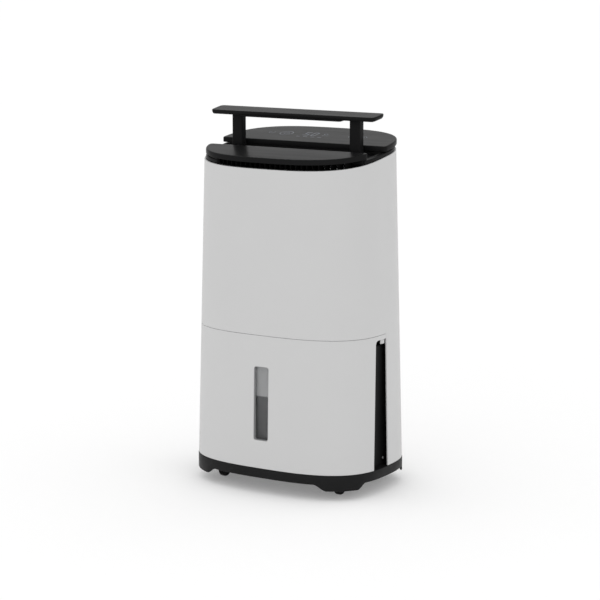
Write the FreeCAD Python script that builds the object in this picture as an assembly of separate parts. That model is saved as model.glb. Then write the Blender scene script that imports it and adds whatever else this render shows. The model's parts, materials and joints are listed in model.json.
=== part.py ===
import FreeCAD, Part
import math
import os

# Compressor dehumidifier: a tapered rounded-oblong tower on four swivel casters, with a lift-up
# carrying handle, a pull-out water tank and a grille with its filter at the rear.
# Millimetres. +Z up, the front faces -Y, +X is the right side seen from the front.
# Origin: on the floor, under the middle of the tower.

# ---------------------------------------------------------------- driving dimensions
BODY_HALF_X = 160.0        # white body at its foot
BODY_HALF_Y = 118.2
BODY_POWER = 2.9           # superellipse exponent of every plan outline
BODY_FOOT_Z = 40.2
RIM_Z = 519.75             # top rim of the white body over the middle of the tower
TAPER = 11.7               # how far each side leans in from foot to rim
DECK_TILT = 8.2            # the deck and the rim rise towards the rear, degrees
WALL = 2.5                 # casing wall

BAND_HALF_X = 160.4        # black base band
BAND_HALF_Y = 119.0
BAND_BOTTOM_Z = 25.3
SKIRT_BOTTOM_Z = 15.6
BAND_WALL = 3.0
BASE_PLATE_Z = 38.0        # underside of the base's floor plate
SKIRT_FLAT_X = 110.0       # corner skirts: flat foot beyond here ...
SKIRT_RISE_X = 91.0        # ... and back up to the band's bottom here
SKIRT_FLAT_Y = 71.0
SKIRT_RISE_Y = 57.0

DECK_HALF_X = 146.7        # deck plates
DECK_HALF_Y = 103.9
DECK_Z = 536.0             # deck's top plane over the middle of the tower
PLATE_DEPTH = 8.0
CONTROL_PLATE_LEDGE = 2.3  # control plate reaches this far beyond the ring
CHANNEL_FRONT_Y = -35.5    # the handle's channel between the two deck plates
CHANNEL_REAR_Y = 5.6
CHANNEL_FLOOR = 14.0       # below the deck's top plane
RING_TOP = 10.0
RING_BOTTOM = 16.0
OUTLET_LEFT_X = -93.7      # air outlet under the front plate: from here ...
OUTLET_RIGHT_Y = -46.0     # ... round the right front corner to here

PARTING_Z = 249.3          # top of the tank's front panel
TANK_GAP = 0.4
SLOT_TOP_Z = 242.0         # finger slots at both sides of the tank
SLOT_FRONT_TOP_Y = -29.5
SLOT_FRONT_FOOT_Y = -39.5
SLOT_REAR_TOP_Y = 1.3
SLOT_REAR_FOOT_Y = 0.7
TAB_FRONT_Y = -10.0         # catch tabs at the top of the slots
TAB_REAR_Y = -0.5
TAB_LOW_Z = 234.0
TAB_TOP_Z = 243.5
TAB_INNER_X = 150.0
TAB_OUTER_X = 153.5
TAB_ROOT_X = 154.5         # where a tab joins the panel above the slot
FLANGE_TOP_Z = 43.9        # foot flange of the tank's panel
FLANGE_HALF_X = 118.0
FLANGE_REAR_Y = -62.0
SEAM_Y = 78.0              # joint between main casing and rear cover

WINDOW_HALF_X = 13.2
WINDOW_LOW_Z = 84.5
WINDOW_HIGH_Z = 200.5
WINDOW_CORNER = 4.0
WINDOW_FRAME = 1.8
WINDOW_BACK_Y = -110.6

BUCKET_HALF_X = 140.0
BUCKET_FRONT_Y = 107.5
BUCKET_REAR_Y = -6.0
BUCKET_LOW_Z = 44.3
BUCKET_HIGH_Z = 204.0
BUCKET_WALL = 2.2
LID_THICK = 2.0
CATCH_RADIUS = 13.0        # hole that the drips fall through
PIVOT_Y = -30.0            # bail pivots and catch hole
PIVOT_RISE = 6.5           # above the bucket's rim
PIVOT_RADIUS = 3.0
EAR_X = 91.5
POUR_LEFT_X = 104.0        # pouring and float opening
POUR_RIGHT_X = 130.0
POUR_FRONT_Y = -60.0
POUR_REAR_Y = -24.0
BAIL_INNER_X = 95.0
BAIL_OUTER_X = 101.0
BAIL_FRONT_Y = -97.0

HANDLE_TOP_Z = 587.3       # raised, over the middle of the tower
BAR_FRONT_Y = -29.3
BAR_REAR_Y = 4.5
BAR_DEPTH = 7.0
BAR_LEDGE = 1.4            # bar's ends reach this far beyond the deck's outline
GRIP_DEPTH = 2.2
GRIP_HALF_X = 88.0
POST_X = 106.5
POST_HALF_X = 9.1
POST_FRONT_Y = -15.6
POST_REAR_Y = -2.9
POST_FOOT_Z = 446.0
GUIDE_LOW_Z = 452.0
POST_PLAY = 0.3

CASTER_X = 106.7
CASTER_Y = 67.0
CASTER_TRAIL = 11.0
WHEEL_RADIUS = 13.0
WHEEL_WIDTH = 9.0
AXLE_RADIUS = 1.5
STEM_RADIUS = 4.15
STEM_TOP_Z = 37.5
SOCKET_RADIUS = 9.0
SOCKET_LOW_Z = 29.5
RIB_LOW_Z = 31.0
RIB_HALF = 1.2
RUNNING_PLAY = 0.05

BAY_CEILING_Z = 285.0
BULKHEAD_Y = 2.0
SHEET = 2.5
WING_OUTER_X = 147.0       # side wings of the bay, seen in the finger slots
WING_FRONT_Y = -36.0
WING_REAR_Y = 30.0
WING_TOP_Z = 231.0
WING_SCREW_RADIUS = 2.6

FAN_Z = 384.0
SCROLL_RADIUS = 90.0
SCROLL_FRONT_Y = -18.0
SCROLL_REAR_Y = 32.0
IMPELLER_RADIUS = 74.0
BLADES = 30

COIL_LEFT_X = -111.0
COIL_RIGHT_X = 105.0
COIL_LOW_Z = 268.0
COIL_HIGH_Z = 466.0
COIL_DEPTH = 22.0
CONDENSER_Y = 42.0
EVAPORATOR_Y = 66.5
COIL_ROWS = 6
TUBE_RADIUS = 4.0
FIN_PITCH = 7.0

GRILLE_HALF_X = 104.0
GRILLE_LOW_Z = 276.0
GRILLE_HIGH_Z = 484.0
FILTER_Y = 93.0

COMPRESSOR_X = -62.0
COMPRESSOR_Y = 54.0
COMPRESSOR_RADIUS = 43.0
ACCUMULATOR_X = -1.0
DRAIN_X = -86.0
DRAIN_Z = 236.0
SPOUT_RADIUS = 6.5
SPOUT_BORE = 4.3
SPOUT_END_Y = 110.0
DRIP_TRAY_Z = 251.0        # underside of the tray under the coils
GLAND_X = 96.0
GLAND_Z = 74.0
LEAD_RADIUS = 3.6

BIG = 400.0                # longer than the machine, for cutting tools
TILT_COS = math.cos(math.radians(DECK_TILT))
X_AXIS = FreeCAD.Vector(1, 0, 0)
Y_AXIS = FreeCAD.Vector(0, 1, 0)
Z_AXIS = FreeCAD.Vector(0, 0, 1)


# ---------------------------------------------------------------- small tools
def vec(x, y, z):
    return FreeCAD.Vector(x, y, z)


def block(x0, x1, y0, y1, z0, z1):
    """Box between two corners."""
    return Part.makeBox(x1 - x0, y1 - y0, z1 - z0, vec(x0, y0, z0))


def rod(radius, start, direction, length):
    """Round bar from a start point along a direction."""
    return Part.makeCylinder(radius, length, start, direction)


def tube(outer, inner, start, direction, length):
    return rod(outer, start, direction, length).cut(rod(inner, start, direction, length))


def prism(points, direction):
    """Straight-edged outline swept along a direction."""
    wire = Part.makePolygon([vec(*p) for p in points + points[:1]])
    return Part.Face(wire).extrude(direction)


def rounded_block(x0, x1, y0, y1, z0, z1, radius):
    """Box whose four upright edges are rounded."""
    solid = block(x0, x1, y0, y1, z0, z1)
    upright = [e for e in solid.Edges if abs(e.tangentAt(e.FirstParameter).z) > 0.99]
    return solid.makeFillet(radius, upright)


def outline_wire(half_x, half_y, z):
    """Closed superellipse: |x/a|^n + |y/b|^n = 1."""
    points = []
    count = 64
    for i in range(count):
        angle = 2 * math.pi * i / count
        c, s = math.cos(angle), math.sin(angle)
        reach = (abs(c) ** BODY_POWER + abs(s) ** BODY_POWER) ** (-1 / BODY_POWER)
        points.append(vec(half_x * reach * c, half_y * reach * s, z))
    curve = Part.BSplineCurve()
    curve.interpolate(Points=points, PeriodicFlag=True)
    return Part.Wire([curve.toShape()])


def outline_prism(half_x, half_y, z0, z1):
    """Upright superellipse block."""
    return Part.Face(outline_wire(half_x, half_y, z0)).extrude(vec(0, 0, z1 - z0))


def lean(z):
    """How far the body's side has come in at height z."""
    return TAPER * (z - BODY_FOOT_Z) / (RIM_Z - BODY_FOOT_Z)


def body_block(z0, z1, inset):
    """Tapered superellipse block of the white body, its sides moved in by inset."""
    low = outline_wire(BODY_HALF_X - lean(z0) - inset, BODY_HALF_Y - lean(z0) - inset, z0)
    high = outline_wire(BODY_HALF_X - lean(z1) - inset, BODY_HALF_Y - lean(z1) - inset, z1)
    return Part.makeLoft([low, high], True, True)


def body_shell(z0, z1):
    return body_block(z0, z1, 0).cut(body_block(z0 - 1, z1 + 1, WALL))


def outline_y(x, half_x=DECK_HALF_X, half_y=DECK_HALF_Y):
    """Front edge of a superellipse at a given x (a negative y)."""
    return -half_y * (1 - (abs(x) / half_x) ** BODY_POWER) ** (1 / BODY_POWER)


def tilted_slab(base_z, low, high):
    """Slab between two planes parallel to the deck, at heights low and high from base_z."""
    slab = Part.makeBox(2 * BIG, 2 * BIG, (high - low) * TILT_COS, vec(-BIG, -BIG, low * TILT_COS))
    slab.rotate(vec(0, 0, 0), X_AXIS, DECK_TILT)
    slab.translate(vec(0, 0, base_z))
    return slab


def deck_slice(inset, low, high, y0=-BIG, y1=BIG, x0=-BIG, x1=BIG):
    """Piece of the deck's outline between two depths below its top plane."""
    body = outline_prism(DECK_HALF_X - inset, DECK_HALF_Y - inset, 440, 600)
    window = block(x0, x1, y0, y1, 430, 610)
    return body.common(window).common(tilted_slab(DECK_Z, -low, -high))


def fuse_all(shapes):
    solid = shapes[0]
    for shape in shapes[1:]:
        solid = solid.fuse(shape)
    return solid.removeSplitter()


def mirrored(shape):
    """The same shape on the other side of the tower."""
    return shape.mirror(vec(0, 0, 0), X_AXIS)


def bent_pipe(points, radius, bend):
    """Round pipe along straight runs joined by tangent arcs."""
    points = [vec(*p) for p in points]
    edges = []
    start = points[0]
    for before, corner, after in zip(points, points[1:], points[2:]):
        back = (before - corner).normalize()
        ahead = (after - corner).normalize()
        half = back.getAngle(ahead) / 2
        reach = bend / math.tan(half)
        enter = corner + back * reach
        leave = corner + ahead * reach
        middle = (back + ahead).normalize()
        top = corner + middle * (bend / math.sin(half) - bend)
        edges.append(Part.LineSegment(start, enter).toShape())
        edges.append(Part.Arc(enter, top, leave).toShape())
        start = leave
    edges.append(Part.LineSegment(start, points[-1]).toShape())
    path = Part.Wire(edges)
    profile = Part.Wire([Part.Circle(points[0], points[1] - points[0], radius).toShape()])
    return path.makePipeShell([profile], True, True)


# ---------------------------------------------------------------- base and casters
def skirt_gap(reach_low, reach_high, along_x):
    """Tool that opens the skirt between two corners, its ends sloping."""
    low, high = SKIRT_BOTTOM_Z - 1, BAND_BOTTOM_Z
    if along_x:
        corners = [(-reach_low, -BIG, low), (reach_low, -BIG, low),
                   (reach_high, -BIG, high), (-reach_high, -BIG, high)]
        return prism(corners, vec(0, 2 * BIG, 0))
    corners = [(-BIG, -reach_low, low), (-BIG, reach_low, low),
               (-BIG, reach_high, high), (-BIG, -reach_high, high)]
    return prism(corners, vec(2 * BIG, 0, 0))


def caster_places():
    return [("front_left", -1, -1), ("front_right", 1, -1), ("rear_left", -1, 1), ("rear_right", 1, 1)]


def make_base_band():
    """Black band round the foot, with a corner skirt over each caster."""
    band = outline_prism(BAND_HALF_X, BAND_HALF_Y, SKIRT_BOTTOM_Z, BODY_FOOT_Z)
    hollow = outline_prism(BAND_HALF_X - BAND_WALL, BAND_HALF_Y - BAND_WALL, SKIRT_BOTTOM_Z - 1, BODY_FOOT_Z + 1)
    band = band.cut(hollow)
    band = band.cut(skirt_gap(SKIRT_FLAT_X, SKIRT_RISE_X, True))
    return band.cut(skirt_gap(SKIRT_FLAT_Y, SKIRT_RISE_Y, False))


def make_base_plate():
    """Floor plate that everything stands on."""
    return outline_prism(BAND_HALF_X - BAND_WALL, BAND_HALF_Y - BAND_WALL, BASE_PLATE_Z, BODY_FOOT_Z)


def make_base_bosses():
    """Under the floor plate: three stiffening ribs and the four bosses that the caster stems turn in."""
    reach = BAND_HALF_Y - BAND_WALL - 5
    bosses = [block(x - RIB_HALF, x + RIB_HALF, -reach, reach, RIB_LOW_Z, BASE_PLATE_Z) for x in (-70, 0, 70)]
    height = BASE_PLATE_Z - SOCKET_LOW_Z
    for _, side, end in caster_places():
        foot = vec(side * CASTER_X, end * CASTER_Y, SOCKET_LOW_Z)
        bosses.append(tube(SOCKET_RADIUS, STEM_RADIUS + RUNNING_PLAY, foot, Z_AXIS, height))
    return Part.makeCompound(bosses)


def place_caster(shape, side, end):
    """Shapes are drawn trailing towards -Y at the origin; the trail points to the tower's middle."""
    moved = shape.copy()
    if end < 0:
        moved = moved.mirror(vec(0, 0, 0), Y_AXIS)
    moved.translate(vec(side * CASTER_X, end * CASTER_Y, 0))
    return moved


def make_caster_fork():
    """Stem, round cap and two cheeks."""
    cap_low, cap_high = 27.2, 29.2
    cheek_in = WHEEL_WIDTH / 2 + 0.7
    cheek_out = cheek_in + 2.3
    stem = rod(STEM_RADIUS, vec(0, 0, cap_low), Z_AXIS, STEM_TOP_Z - cap_low)
    cap = rod(10.0, vec(0, 0, cap_low), Z_AXIS, cap_high - cap_low)
    fork = stem.fuse(cap)
    side = [(7, 28), (-9, 28), (-16, 17), (-16, 9.6), (-7, 9.6), (7, 23)]
    for x in (cheek_in, -cheek_out):
        cheek = prism([(x, y, z) for y, z in side], vec(cheek_out - cheek_in, 0, 0))
        fork = fork.fuse(cheek)
    axle_hole = rod(AXLE_RADIUS, vec(-20, -CASTER_TRAIL, WHEEL_RADIUS), X_AXIS, 40)
    return fork.cut(axle_hole).removeSplitter()


def make_caster_axle():
    half = WHEEL_WIDTH / 2 + 3.0
    return rod(AXLE_RADIUS, vec(-half, -CASTER_TRAIL, WHEEL_RADIUS), X_AXIS, 2 * half)


def make_caster_wheel():
    """Solid nylon wheel with a rounded tread and dished faces."""
    half = WHEEL_WIDTH / 2
    middle = vec(-half, -CASTER_TRAIL, WHEEL_RADIUS)
    wheel = rod(WHEEL_RADIUS, middle, X_AXIS, WHEEL_WIDTH)
    wheel = wheel.makeFillet(1.6, [e for e in wheel.Edges if e.Closed])
    for start in (-half - 1, half - 1.2):
        dish = tube(WHEEL_RADIUS - 3.0, 4.0, vec(start, -CASTER_TRAIL, WHEEL_RADIUS), X_AXIS, 2.2)
        wheel = wheel.cut(dish)
    bore = rod(AXLE_RADIUS + 0.06, vec(-20, -CASTER_TRAIL, WHEEL_RADIUS), X_AXIS, 40)
    return wheel.cut(bore)


# ---------------------------------------------------------------- casing
def slot_rear_tool():
    """Everything in front of the casing's edge behind the finger slots."""
    low, high = BODY_FOOT_Z - 5, PARTING_Z
    side = [(-BIG, low), (SLOT_REAR_FOOT_Y, low), (SLOT_REAR_TOP_Y, high), (-BIG, high)]
    return prism([(-BIG, y, z) for y, z in side], vec(2 * BIG, 0, 0))


def make_main_casing():
    """White wrap: front above the tank, and both sides back to the seam."""
    shell = body_shell(BODY_FOOT_Z + TANK_GAP, 560)
    shell = shell.common(block(-BIG, BIG, -BIG, SEAM_Y, 0, 600))
    shell = shell.common(tilted_slab(RIM_Z, -2 * BIG, 0))
    return shell.cut(slot_rear_tool())


def make_rear_cover():
    """White back shell with the grille's opening, the drain hole and the lead's hole."""
    shell = body_shell(BODY_FOOT_Z + TANK_GAP, 560)
    shell = shell.common(block(-BIG, BIG, SEAM_Y + 0.4, BIG, 0, 600))
    shell = shell.common(tilted_slab(RIM_Z, -2 * BIG, 0))
    edge = 0.5
    opening = block(-GRILLE_HALF_X - edge, GRILLE_HALF_X + edge, SEAM_Y + 8, BIG,
                    GRILLE_LOW_Z - edge, GRILLE_HIGH_Z + edge)
    drain = rod(11.0, vec(DRAIN_X, 90, DRAIN_Z), Y_AXIS, 60)
    gland = rod(9.0, vec(GLAND_X, 90, GLAND_Z), Y_AXIS, 60)
    return shell.cut(opening).cut(drain).cut(gland)


def make_intake_grille():
    """Curved rear grille: rows of long slots in the body's own surface."""
    shell = body_shell(GRILLE_LOW_Z, GRILLE_HIGH_Z)
    panel = shell.common(block(-GRILLE_HALF_X, GRILLE_HALF_X, SEAM_Y + 9, BIG, 0, 600))
    rows, columns = 18, 4
    margin, mullion, height = 10.0, 7.0, 5.6
    pitch_z = (GRILLE_HIGH_Z - GRILLE_LOW_Z - 2 * margin) / rows
    pitch_x = (2 * GRILLE_HALF_X - 2 * margin + mullion) / columns
    slots = []
    for row in range(rows):
        z0 = GRILLE_LOW_Z + margin + row * pitch_z + (pitch_z - height) / 2
        for column in range(columns):
            x0 = -GRILLE_HALF_X + margin + column * pitch_x
            slots.append(block(x0, x0 + pitch_x - mullion, SEAM_Y, BIG, z0, z0 + height))
    return panel.cut(Part.makeCompound(slots))


def make_filter_frame():
    """Flat frame with two bars across, behind the grille."""
    half_x, low, high, bar = 96.0, GRILLE_LOW_Z + 6, GRILLE_HIGH_Z - 6, 6.0
    frame = block(-half_x, half_x, FILTER_Y, FILTER_Y + 4, low, high)
    pane = 2 * (half_x - bar)
    step = (pane + bar) / 3
    for i in range(3):
        x0 = -half_x + bar + i * step
        frame = frame.cut(block(x0, x0 + step - bar, FILTER_Y - 1, FILTER_Y + 5, low + bar, high - bar))
    for x in (-half_x + 4, half_x - 4):
        for z in (low + 20, high - 20):
            frame = frame.fuse(block(x - 3, x + 3, FILTER_Y + 3.5, FILTER_Y + 8.5, z - 4, z + 4))
    rear_face = body_block(200, 500, WALL)
    return frame.common(rear_face).removeSplitter()


def make_filter_mesh():
    """Thin mesh sheets held in the frame's three windows."""
    half_x, low, high, bar = 96.0, GRILLE_LOW_Z + 6, GRILLE_HIGH_Z - 6, 6.0
    step = (2 * (half_x - bar) + bar) / 3
    sheets = []
    for i in range(3):
        x0 = -half_x + bar + i * step
        sheets.append(block(x0, x0 + step - bar, FILTER_Y + 1.4, FILTER_Y + 2.6, low + bar, high - bar))
    return Part.makeCompound(sheets)


# ---------------------------------------------------------------- deck
def outlet_sector():
    """Plan of the air outlet: the front edge and the right front corner."""
    front = block(OUTLET_LEFT_X, BIG, -BIG, OUTLET_RIGHT_Y, 400, 620)
    return front.cut(block(-BIG, BIG, OUTLET_RIGHT_Y, BIG, 300, 700))


def make_deck_frame():
    """Black top frame: ring on the white rim, skirt inside it, channel floor and plate supports."""
    seat = 1.3
    ring = deck_slice(0, RING_BOTTOM, RING_TOP).cut(deck_slice(5, RING_BOTTOM + 1, RING_TOP - 1))
    ring = ring.cut(outlet_sector())
    skirt = deck_slice(seat, 40, RING_BOTTOM).cut(deck_slice(seat + 3, 41, RING_BOTTOM - 1))
    floor_low = CHANNEL_FLOOR + 3
    floor = deck_slice(seat + 1, floor_low, CHANNEL_FLOOR, y0=CHANNEL_FRONT_Y - 4)
    shelf = deck_slice(4.5, floor_low, RING_TOP, y0=CHANNEL_FRONT_Y - 4)
    shelf = shelf.cut(deck_slice(8.5, floor_low + 1, RING_TOP - 1))
    front_wall = deck_slice(5, floor_low, PLATE_DEPTH, y0=CHANNEL_FRONT_Y - 4, y1=CHANNEL_FRONT_Y - 1)
    rear_wall = deck_slice(8, floor_low, PLATE_DEPTH, y0=CHANNEL_REAR_Y + 3, y1=CHANNEL_REAR_Y + 6)
    pedestal = deck_slice(8, floor_low, PLATE_DEPTH, y0=CHANNEL_REAR_Y + 3)
    pedestal = pedestal.cut(deck_slice(11, floor_low + 1, PLATE_DEPTH - 1))
    left_pillar = deck_slice(3, RING_BOTTOM, PLATE_DEPTH, y1=CHANNEL_FRONT_Y - 2, x1=OUTLET_LEFT_X - 1)
    right_pillar = deck_slice(3, RING_BOTTOM, PLATE_DEPTH, y0=OUTLET_RIGHT_Y + 1,
                              y1=CHANNEL_FRONT_Y - 2, x0=118)
    frame = fuse_all([ring, skirt, floor, shelf, front_wall, rear_wall, pedestal,
                      left_pillar, right_pillar])
    for side in (-1, 1):
        hole = block(side * POST_X - 14, side * POST_X + 14, POST_FRONT_Y - 4, POST_REAR_Y + 4, 440, 560)
        frame = frame.cut(hole)
    return frame


def make_front_plate():
    """Smooth slab in front of the handle's channel."""
    return deck_slice(0, PLATE_DEPTH, 0, y1=CHANNEL_FRONT_Y)


def make_control_plate():
    """Slab behind the channel; its top is the touch surface."""
    return deck_slice(-CONTROL_PLATE_LEDGE, PLATE_DEPTH, 0, y0=CHANNEL_REAR_Y)


def make_display_board():
    """Circuit board with the display and touch pads, under the control plate."""
    board = deck_slice(16, PLATE_DEPTH + 2.8, PLATE_DEPTH + 1.2, y0=26, y1=84, x0=-96, x1=60)
    strip = deck_slice(16, PLATE_DEPTH + 1.3, PLATE_DEPTH + 0.2, y0=44, y1=62, x0=-40, x1=24)
    return board.fuse(strip).removeSplitter()


def make_outlet_fins():
    """Upright guide fins inside the air outlet, on one rail."""
    reach = 15.0
    fins = []
    x = OUTLET_LEFT_X + 8
    while x < 124:
        front = outline_y(x) + 9
        fins.append(block(x - 0.8, x + 0.8, front, front + reach, 480, 540))
        x += 9.0
    comb = Part.makeCompound(fins).common(tilted_slab(DECK_Z, -26, -PLATE_DEPTH - 0.4))
    rail = deck_slice(13, 29, 26, y1=OUTLET_RIGHT_Y, x0=OUTLET_LEFT_X, x1=126)
    rail = rail.cut(deck_slice(24, 30, 25))
    shelf = deck_slice(4.5, 29, 26, y1=OUTLET_RIGHT_Y, x0=OUTLET_LEFT_X, x1=126)
    shelf = shelf.cut(deck_slice(14, 30, 25))
    return rail.fuse(shelf).fuse(comb).removeSplitter()


# ---------------------------------------------------------------- handle
def make_handle_bar():
    """Long flat bar, ends cut to the deck's outline, deeper under the grip."""
    bar = outline_prism(DECK_HALF_X + BAR_LEDGE, DECK_HALF_Y + BAR_LEDGE, DECK_Z - 30, HANDLE_TOP_Z + 60)
    bar = bar.common(block(-BIG, BIG, BAR_FRONT_Y, BAR_REAR_Y, 0, 2 * BIG))
    bar = bar.common(tilted_slab(HANDLE_TOP_Z, -BAR_DEPTH, 0))
    deeper = block(-GRIP_HALF_X, GRIP_HALF_X, BAR_FRONT_Y + 1, BAR_REAR_Y - 1, 0, 2 * BIG)
    deeper = deeper.common(tilted_slab(HANDLE_TOP_Z, -BAR_DEPTH - GRIP_DEPTH, -BAR_DEPTH + 1))
    return bar.fuse(deeper).removeSplitter()


def make_handle_posts():
    """Two upright posts with stop feet."""
    posts = []
    for side in (-1, 1):
        x = side * POST_X
        top = tilted_slab(HANDLE_TOP_Z, -BIG, -BAR_DEPTH)
        post = block(x - POST_HALF_X, x + POST_HALF_X, POST_FRONT_Y, POST_REAR_Y, POST_FOOT_Z, 620)
        foot = block(x - POST_HALF_X - 2.2, x + POST_HALF_X + 2.2, POST_FRONT_Y - 1.6, POST_REAR_Y + 1.6,
                     POST_FOOT_Z, POST_FOOT_Z + 5)
        posts.append(post.common(top).fuse(foot).removeSplitter())
    return Part.makeCompound(posts)


def make_handle_guides():
    """Two sleeves under the channel floor that the posts slide in."""
    guides = []
    wall = 2.6
    for side in (-1, 1):
        x = side * POST_X
        half = POST_HALF_X + POST_PLAY
        y0, y1 = POST_FRONT_Y - POST_PLAY, POST_REAR_Y + POST_PLAY
        top = tilted_slab(DECK_Z, -BIG, -CHANNEL_FLOOR)
        sleeve = block(x - half - wall, x + half + wall, y0 - wall, y1 + wall, GUIDE_LOW_Z, 560)
        sleeve = sleeve.common(top)
        lip = block(x - 17, x + 17, POST_FRONT_Y - 7, POST_REAR_Y + 7, 480, 560)
        lip = lip.common(tilted_slab(DECK_Z, -CHANNEL_FLOOR - 5, -CHANNEL_FLOOR - 3))
        bore = block(x - half, x + half, y0, y1, GUIDE_LOW_Z - 5, 600)
        guides.append(sleeve.fuse(lip).cut(bore).removeSplitter())
    return Part.makeCompound(guides)


# ---------------------------------------------------------------- tank
def window_tool(margin, y0, y1):
    """Upright rounded slot through the tank's front."""
    half = WINDOW_HALF_X + margin
    low, high = WINDOW_LOW_Z - margin, WINDOW_HIGH_Z + margin
    slot = block(-half, half, y0, y1, low, high)
    along = [e for e in slot.Edges if abs(e.tangentAt(e.FirstParameter).y) > 0.99]
    return slot.makeFillet(WINDOW_CORNER + margin, along)


def make_tank_front():
    """White tank panel: curved face, side cut-outs for the fingers, window frame and foot flange."""
    shell = body_shell(BODY_FOOT_Z + TANK_GAP, PARTING_Z - TANK_GAP)
    shell = shell.common(block(-BIG, BIG, -BIG, SLOT_REAR_TOP_Y - TANK_GAP, 0, 600))
    side = [(SLOT_FRONT_FOOT_Y, BODY_FOOT_Z - 5), (BIG, BODY_FOOT_Z - 5), (BIG, SLOT_TOP_Z),
            (SLOT_FRONT_TOP_Y + 6, SLOT_TOP_Z), (SLOT_FRONT_TOP_Y + 2, SLOT_TOP_Z - 2.5),
            (SLOT_FRONT_TOP_Y, SLOT_TOP_Z - 8)]
    shell = shell.cut(prism([(-BIG, y, z) for y, z in side], vec(2 * BIG, 0, 0)))
    panel = shell.cut(window_tool(0, -BIG, -60))
    face = body_block(BODY_FOOT_Z, PARTING_Z, 0)
    frame = window_tool(WINDOW_FRAME, -BIG, WINDOW_BACK_Y).common(face)
    frame = frame.cut(window_tool(0, -BIG, -60))
    flange = outline_prism(BODY_HALF_X - WALL + 1, BODY_HALF_Y - WALL + 1, BODY_FOOT_Z + TANK_GAP, FLANGE_TOP_Z)
    flange = flange.common(block(-FLANGE_HALF_X, FLANGE_HALF_X, -BIG, FLANGE_REAR_Y, 0, 60))
    tabs = [block(TAB_INNER_X, TAB_OUTER_X, TAB_FRONT_Y, TAB_REAR_Y, TAB_LOW_Z, TAB_TOP_Z),
            block(TAB_INNER_X, TAB_ROOT_X, TAB_FRONT_Y, TAB_REAR_Y, TAB_TOP_Z - 2, TAB_TOP_Z)]
    tabs += [mirrored(tab) for tab in tabs]
    return fuse_all([panel, frame, flange] + tabs)


def make_tank_window():
    """Clear pane behind the window frame."""
    pane = window_tool(WINDOW_FRAME + 1.5, WINDOW_BACK_Y, WINDOW_BACK_Y + 1.8)
    return pane


def bucket_block(inset, z0, z1):
    """Upright block of the bucket's plan, moved in by inset."""
    plan = outline_prism(BODY_HALF_X - 8 - inset, BUCKET_FRONT_Y - inset, z0, z1)
    box = rounded_block(-BUCKET_HALF_X + inset, BUCKET_HALF_X - inset, -BIG, BUCKET_REAR_Y - inset,
                        z0, z1, 12 - inset)
    return plan.common(box)


def make_tank_bucket():
    """Open translucent bucket."""
    bucket = bucket_block(0, BUCKET_LOW_Z, BUCKET_HIGH_Z)
    return bucket.cut(bucket_block(BUCKET_WALL, BUCKET_LOW_Z + 2.5, BUCKET_HIGH_Z + 5))


def make_tank_lid():
    """Lid with a catch hole, a pouring corner and two ears for the bail."""
    lid = bucket_block(0, BUCKET_HIGH_Z, BUCKET_HIGH_Z + LID_THICK)
    lip = bucket_block(BUCKET_WALL + 0.4, BUCKET_HIGH_Z - 4, BUCKET_HIGH_Z)
    lip = lip.cut(bucket_block(BUCKET_WALL + 2.2, BUCKET_HIGH_Z - 5, BUCKET_HIGH_Z + 1))
    lid = lid.fuse(lip)
    lid = lid.cut(rod(CATCH_RADIUS, vec(0, PIVOT_Y, BUCKET_HIGH_Z - 10), Z_AXIS, 20))
    lid = lid.cut(block(POUR_LEFT_X, POUR_RIGHT_X, POUR_FRONT_Y, POUR_REAR_Y, BUCKET_HIGH_Z - 1, BUCKET_HIGH_Z + 6))
    for side in (-1, 1):
        x = side * EAR_X
        ear = block(x - 2.5, x + 2.5, PIVOT_Y - 6, PIVOT_Y + 6, BUCKET_HIGH_Z + 1, BUCKET_HIGH_Z + 11)
        hole = rod(PIVOT_RADIUS, vec(x - 10, PIVOT_Y, BUCKET_HIGH_Z + PIVOT_RISE), X_AXIS, 20)
        lid = lid.fuse(ear).cut(hole)
    return lid.removeSplitter()


def make_tank_bail():
    """Folded carrying bail: two arms, a grip bar and two pivot pins."""
    z = BUCKET_HIGH_Z + PIVOT_RISE
    arm = block(BAIL_INNER_X, BAIL_OUTER_X, BAIL_FRONT_Y + 5, PIVOT_Y + 3, z - 2.5, z + 2.5)
    arms = [mirrored(arm), arm]
    grip = rounded_block(-BAIL_OUTER_X, BAIL_OUTER_X, BAIL_FRONT_Y, BAIL_FRONT_Y + 10, z - 3.5, z + 3.5, 3)
    pin = PIVOT_RADIUS - 0.06
    pins = [rod(pin, vec(-BAIL_INNER_X - 0.5, PIVOT_Y, z), X_AXIS, 6.5), rod(pin, vec(89, PIVOT_Y, z), X_AXIS, 6.5)]
    return fuse_all([grip] + arms + pins)


def make_float_arm():
    """Float arm with its pivot sleeve."""
    arm = block(114, 120, -52, -20, 186, 189)
    sleeve = tube(4.0, 2.05, vec(112, -18, 190), X_AXIS, 10)
    drop = block(114, 120, -52, -49, 172, 188)
    return fuse_all([sleeve, arm.cut(rod(2.05, vec(100, -18, 190), X_AXIS, 40)), drop])


def make_float_block():
    """Closed-cell foam float."""
    return rounded_block(104, 130, -66, -36, 156, 172, 5)


def make_float_pin():
    """Pivot pin between the bucket's side wall and the lid's inner rib."""
    return rod(2.0, vec(108, -18, 190), X_AXIS, BUCKET_HALF_X - BUCKET_WALL - 108)


def make_tank_screws():
    """Four screws that hold the bucket on the panel's foot flange."""
    screws = []
    for x in (-100, -36, 36, 100):
        shank = rod(1.5, vec(x, -72, 42.2), Z_AXIS, 3.6)
        head = rod(3.0, vec(x, -72, 42.2), Z_AXIS, 1.2)
        screws.append(shank.fuse(head).removeSplitter())
    return Part.makeCompound(screws)


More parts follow.
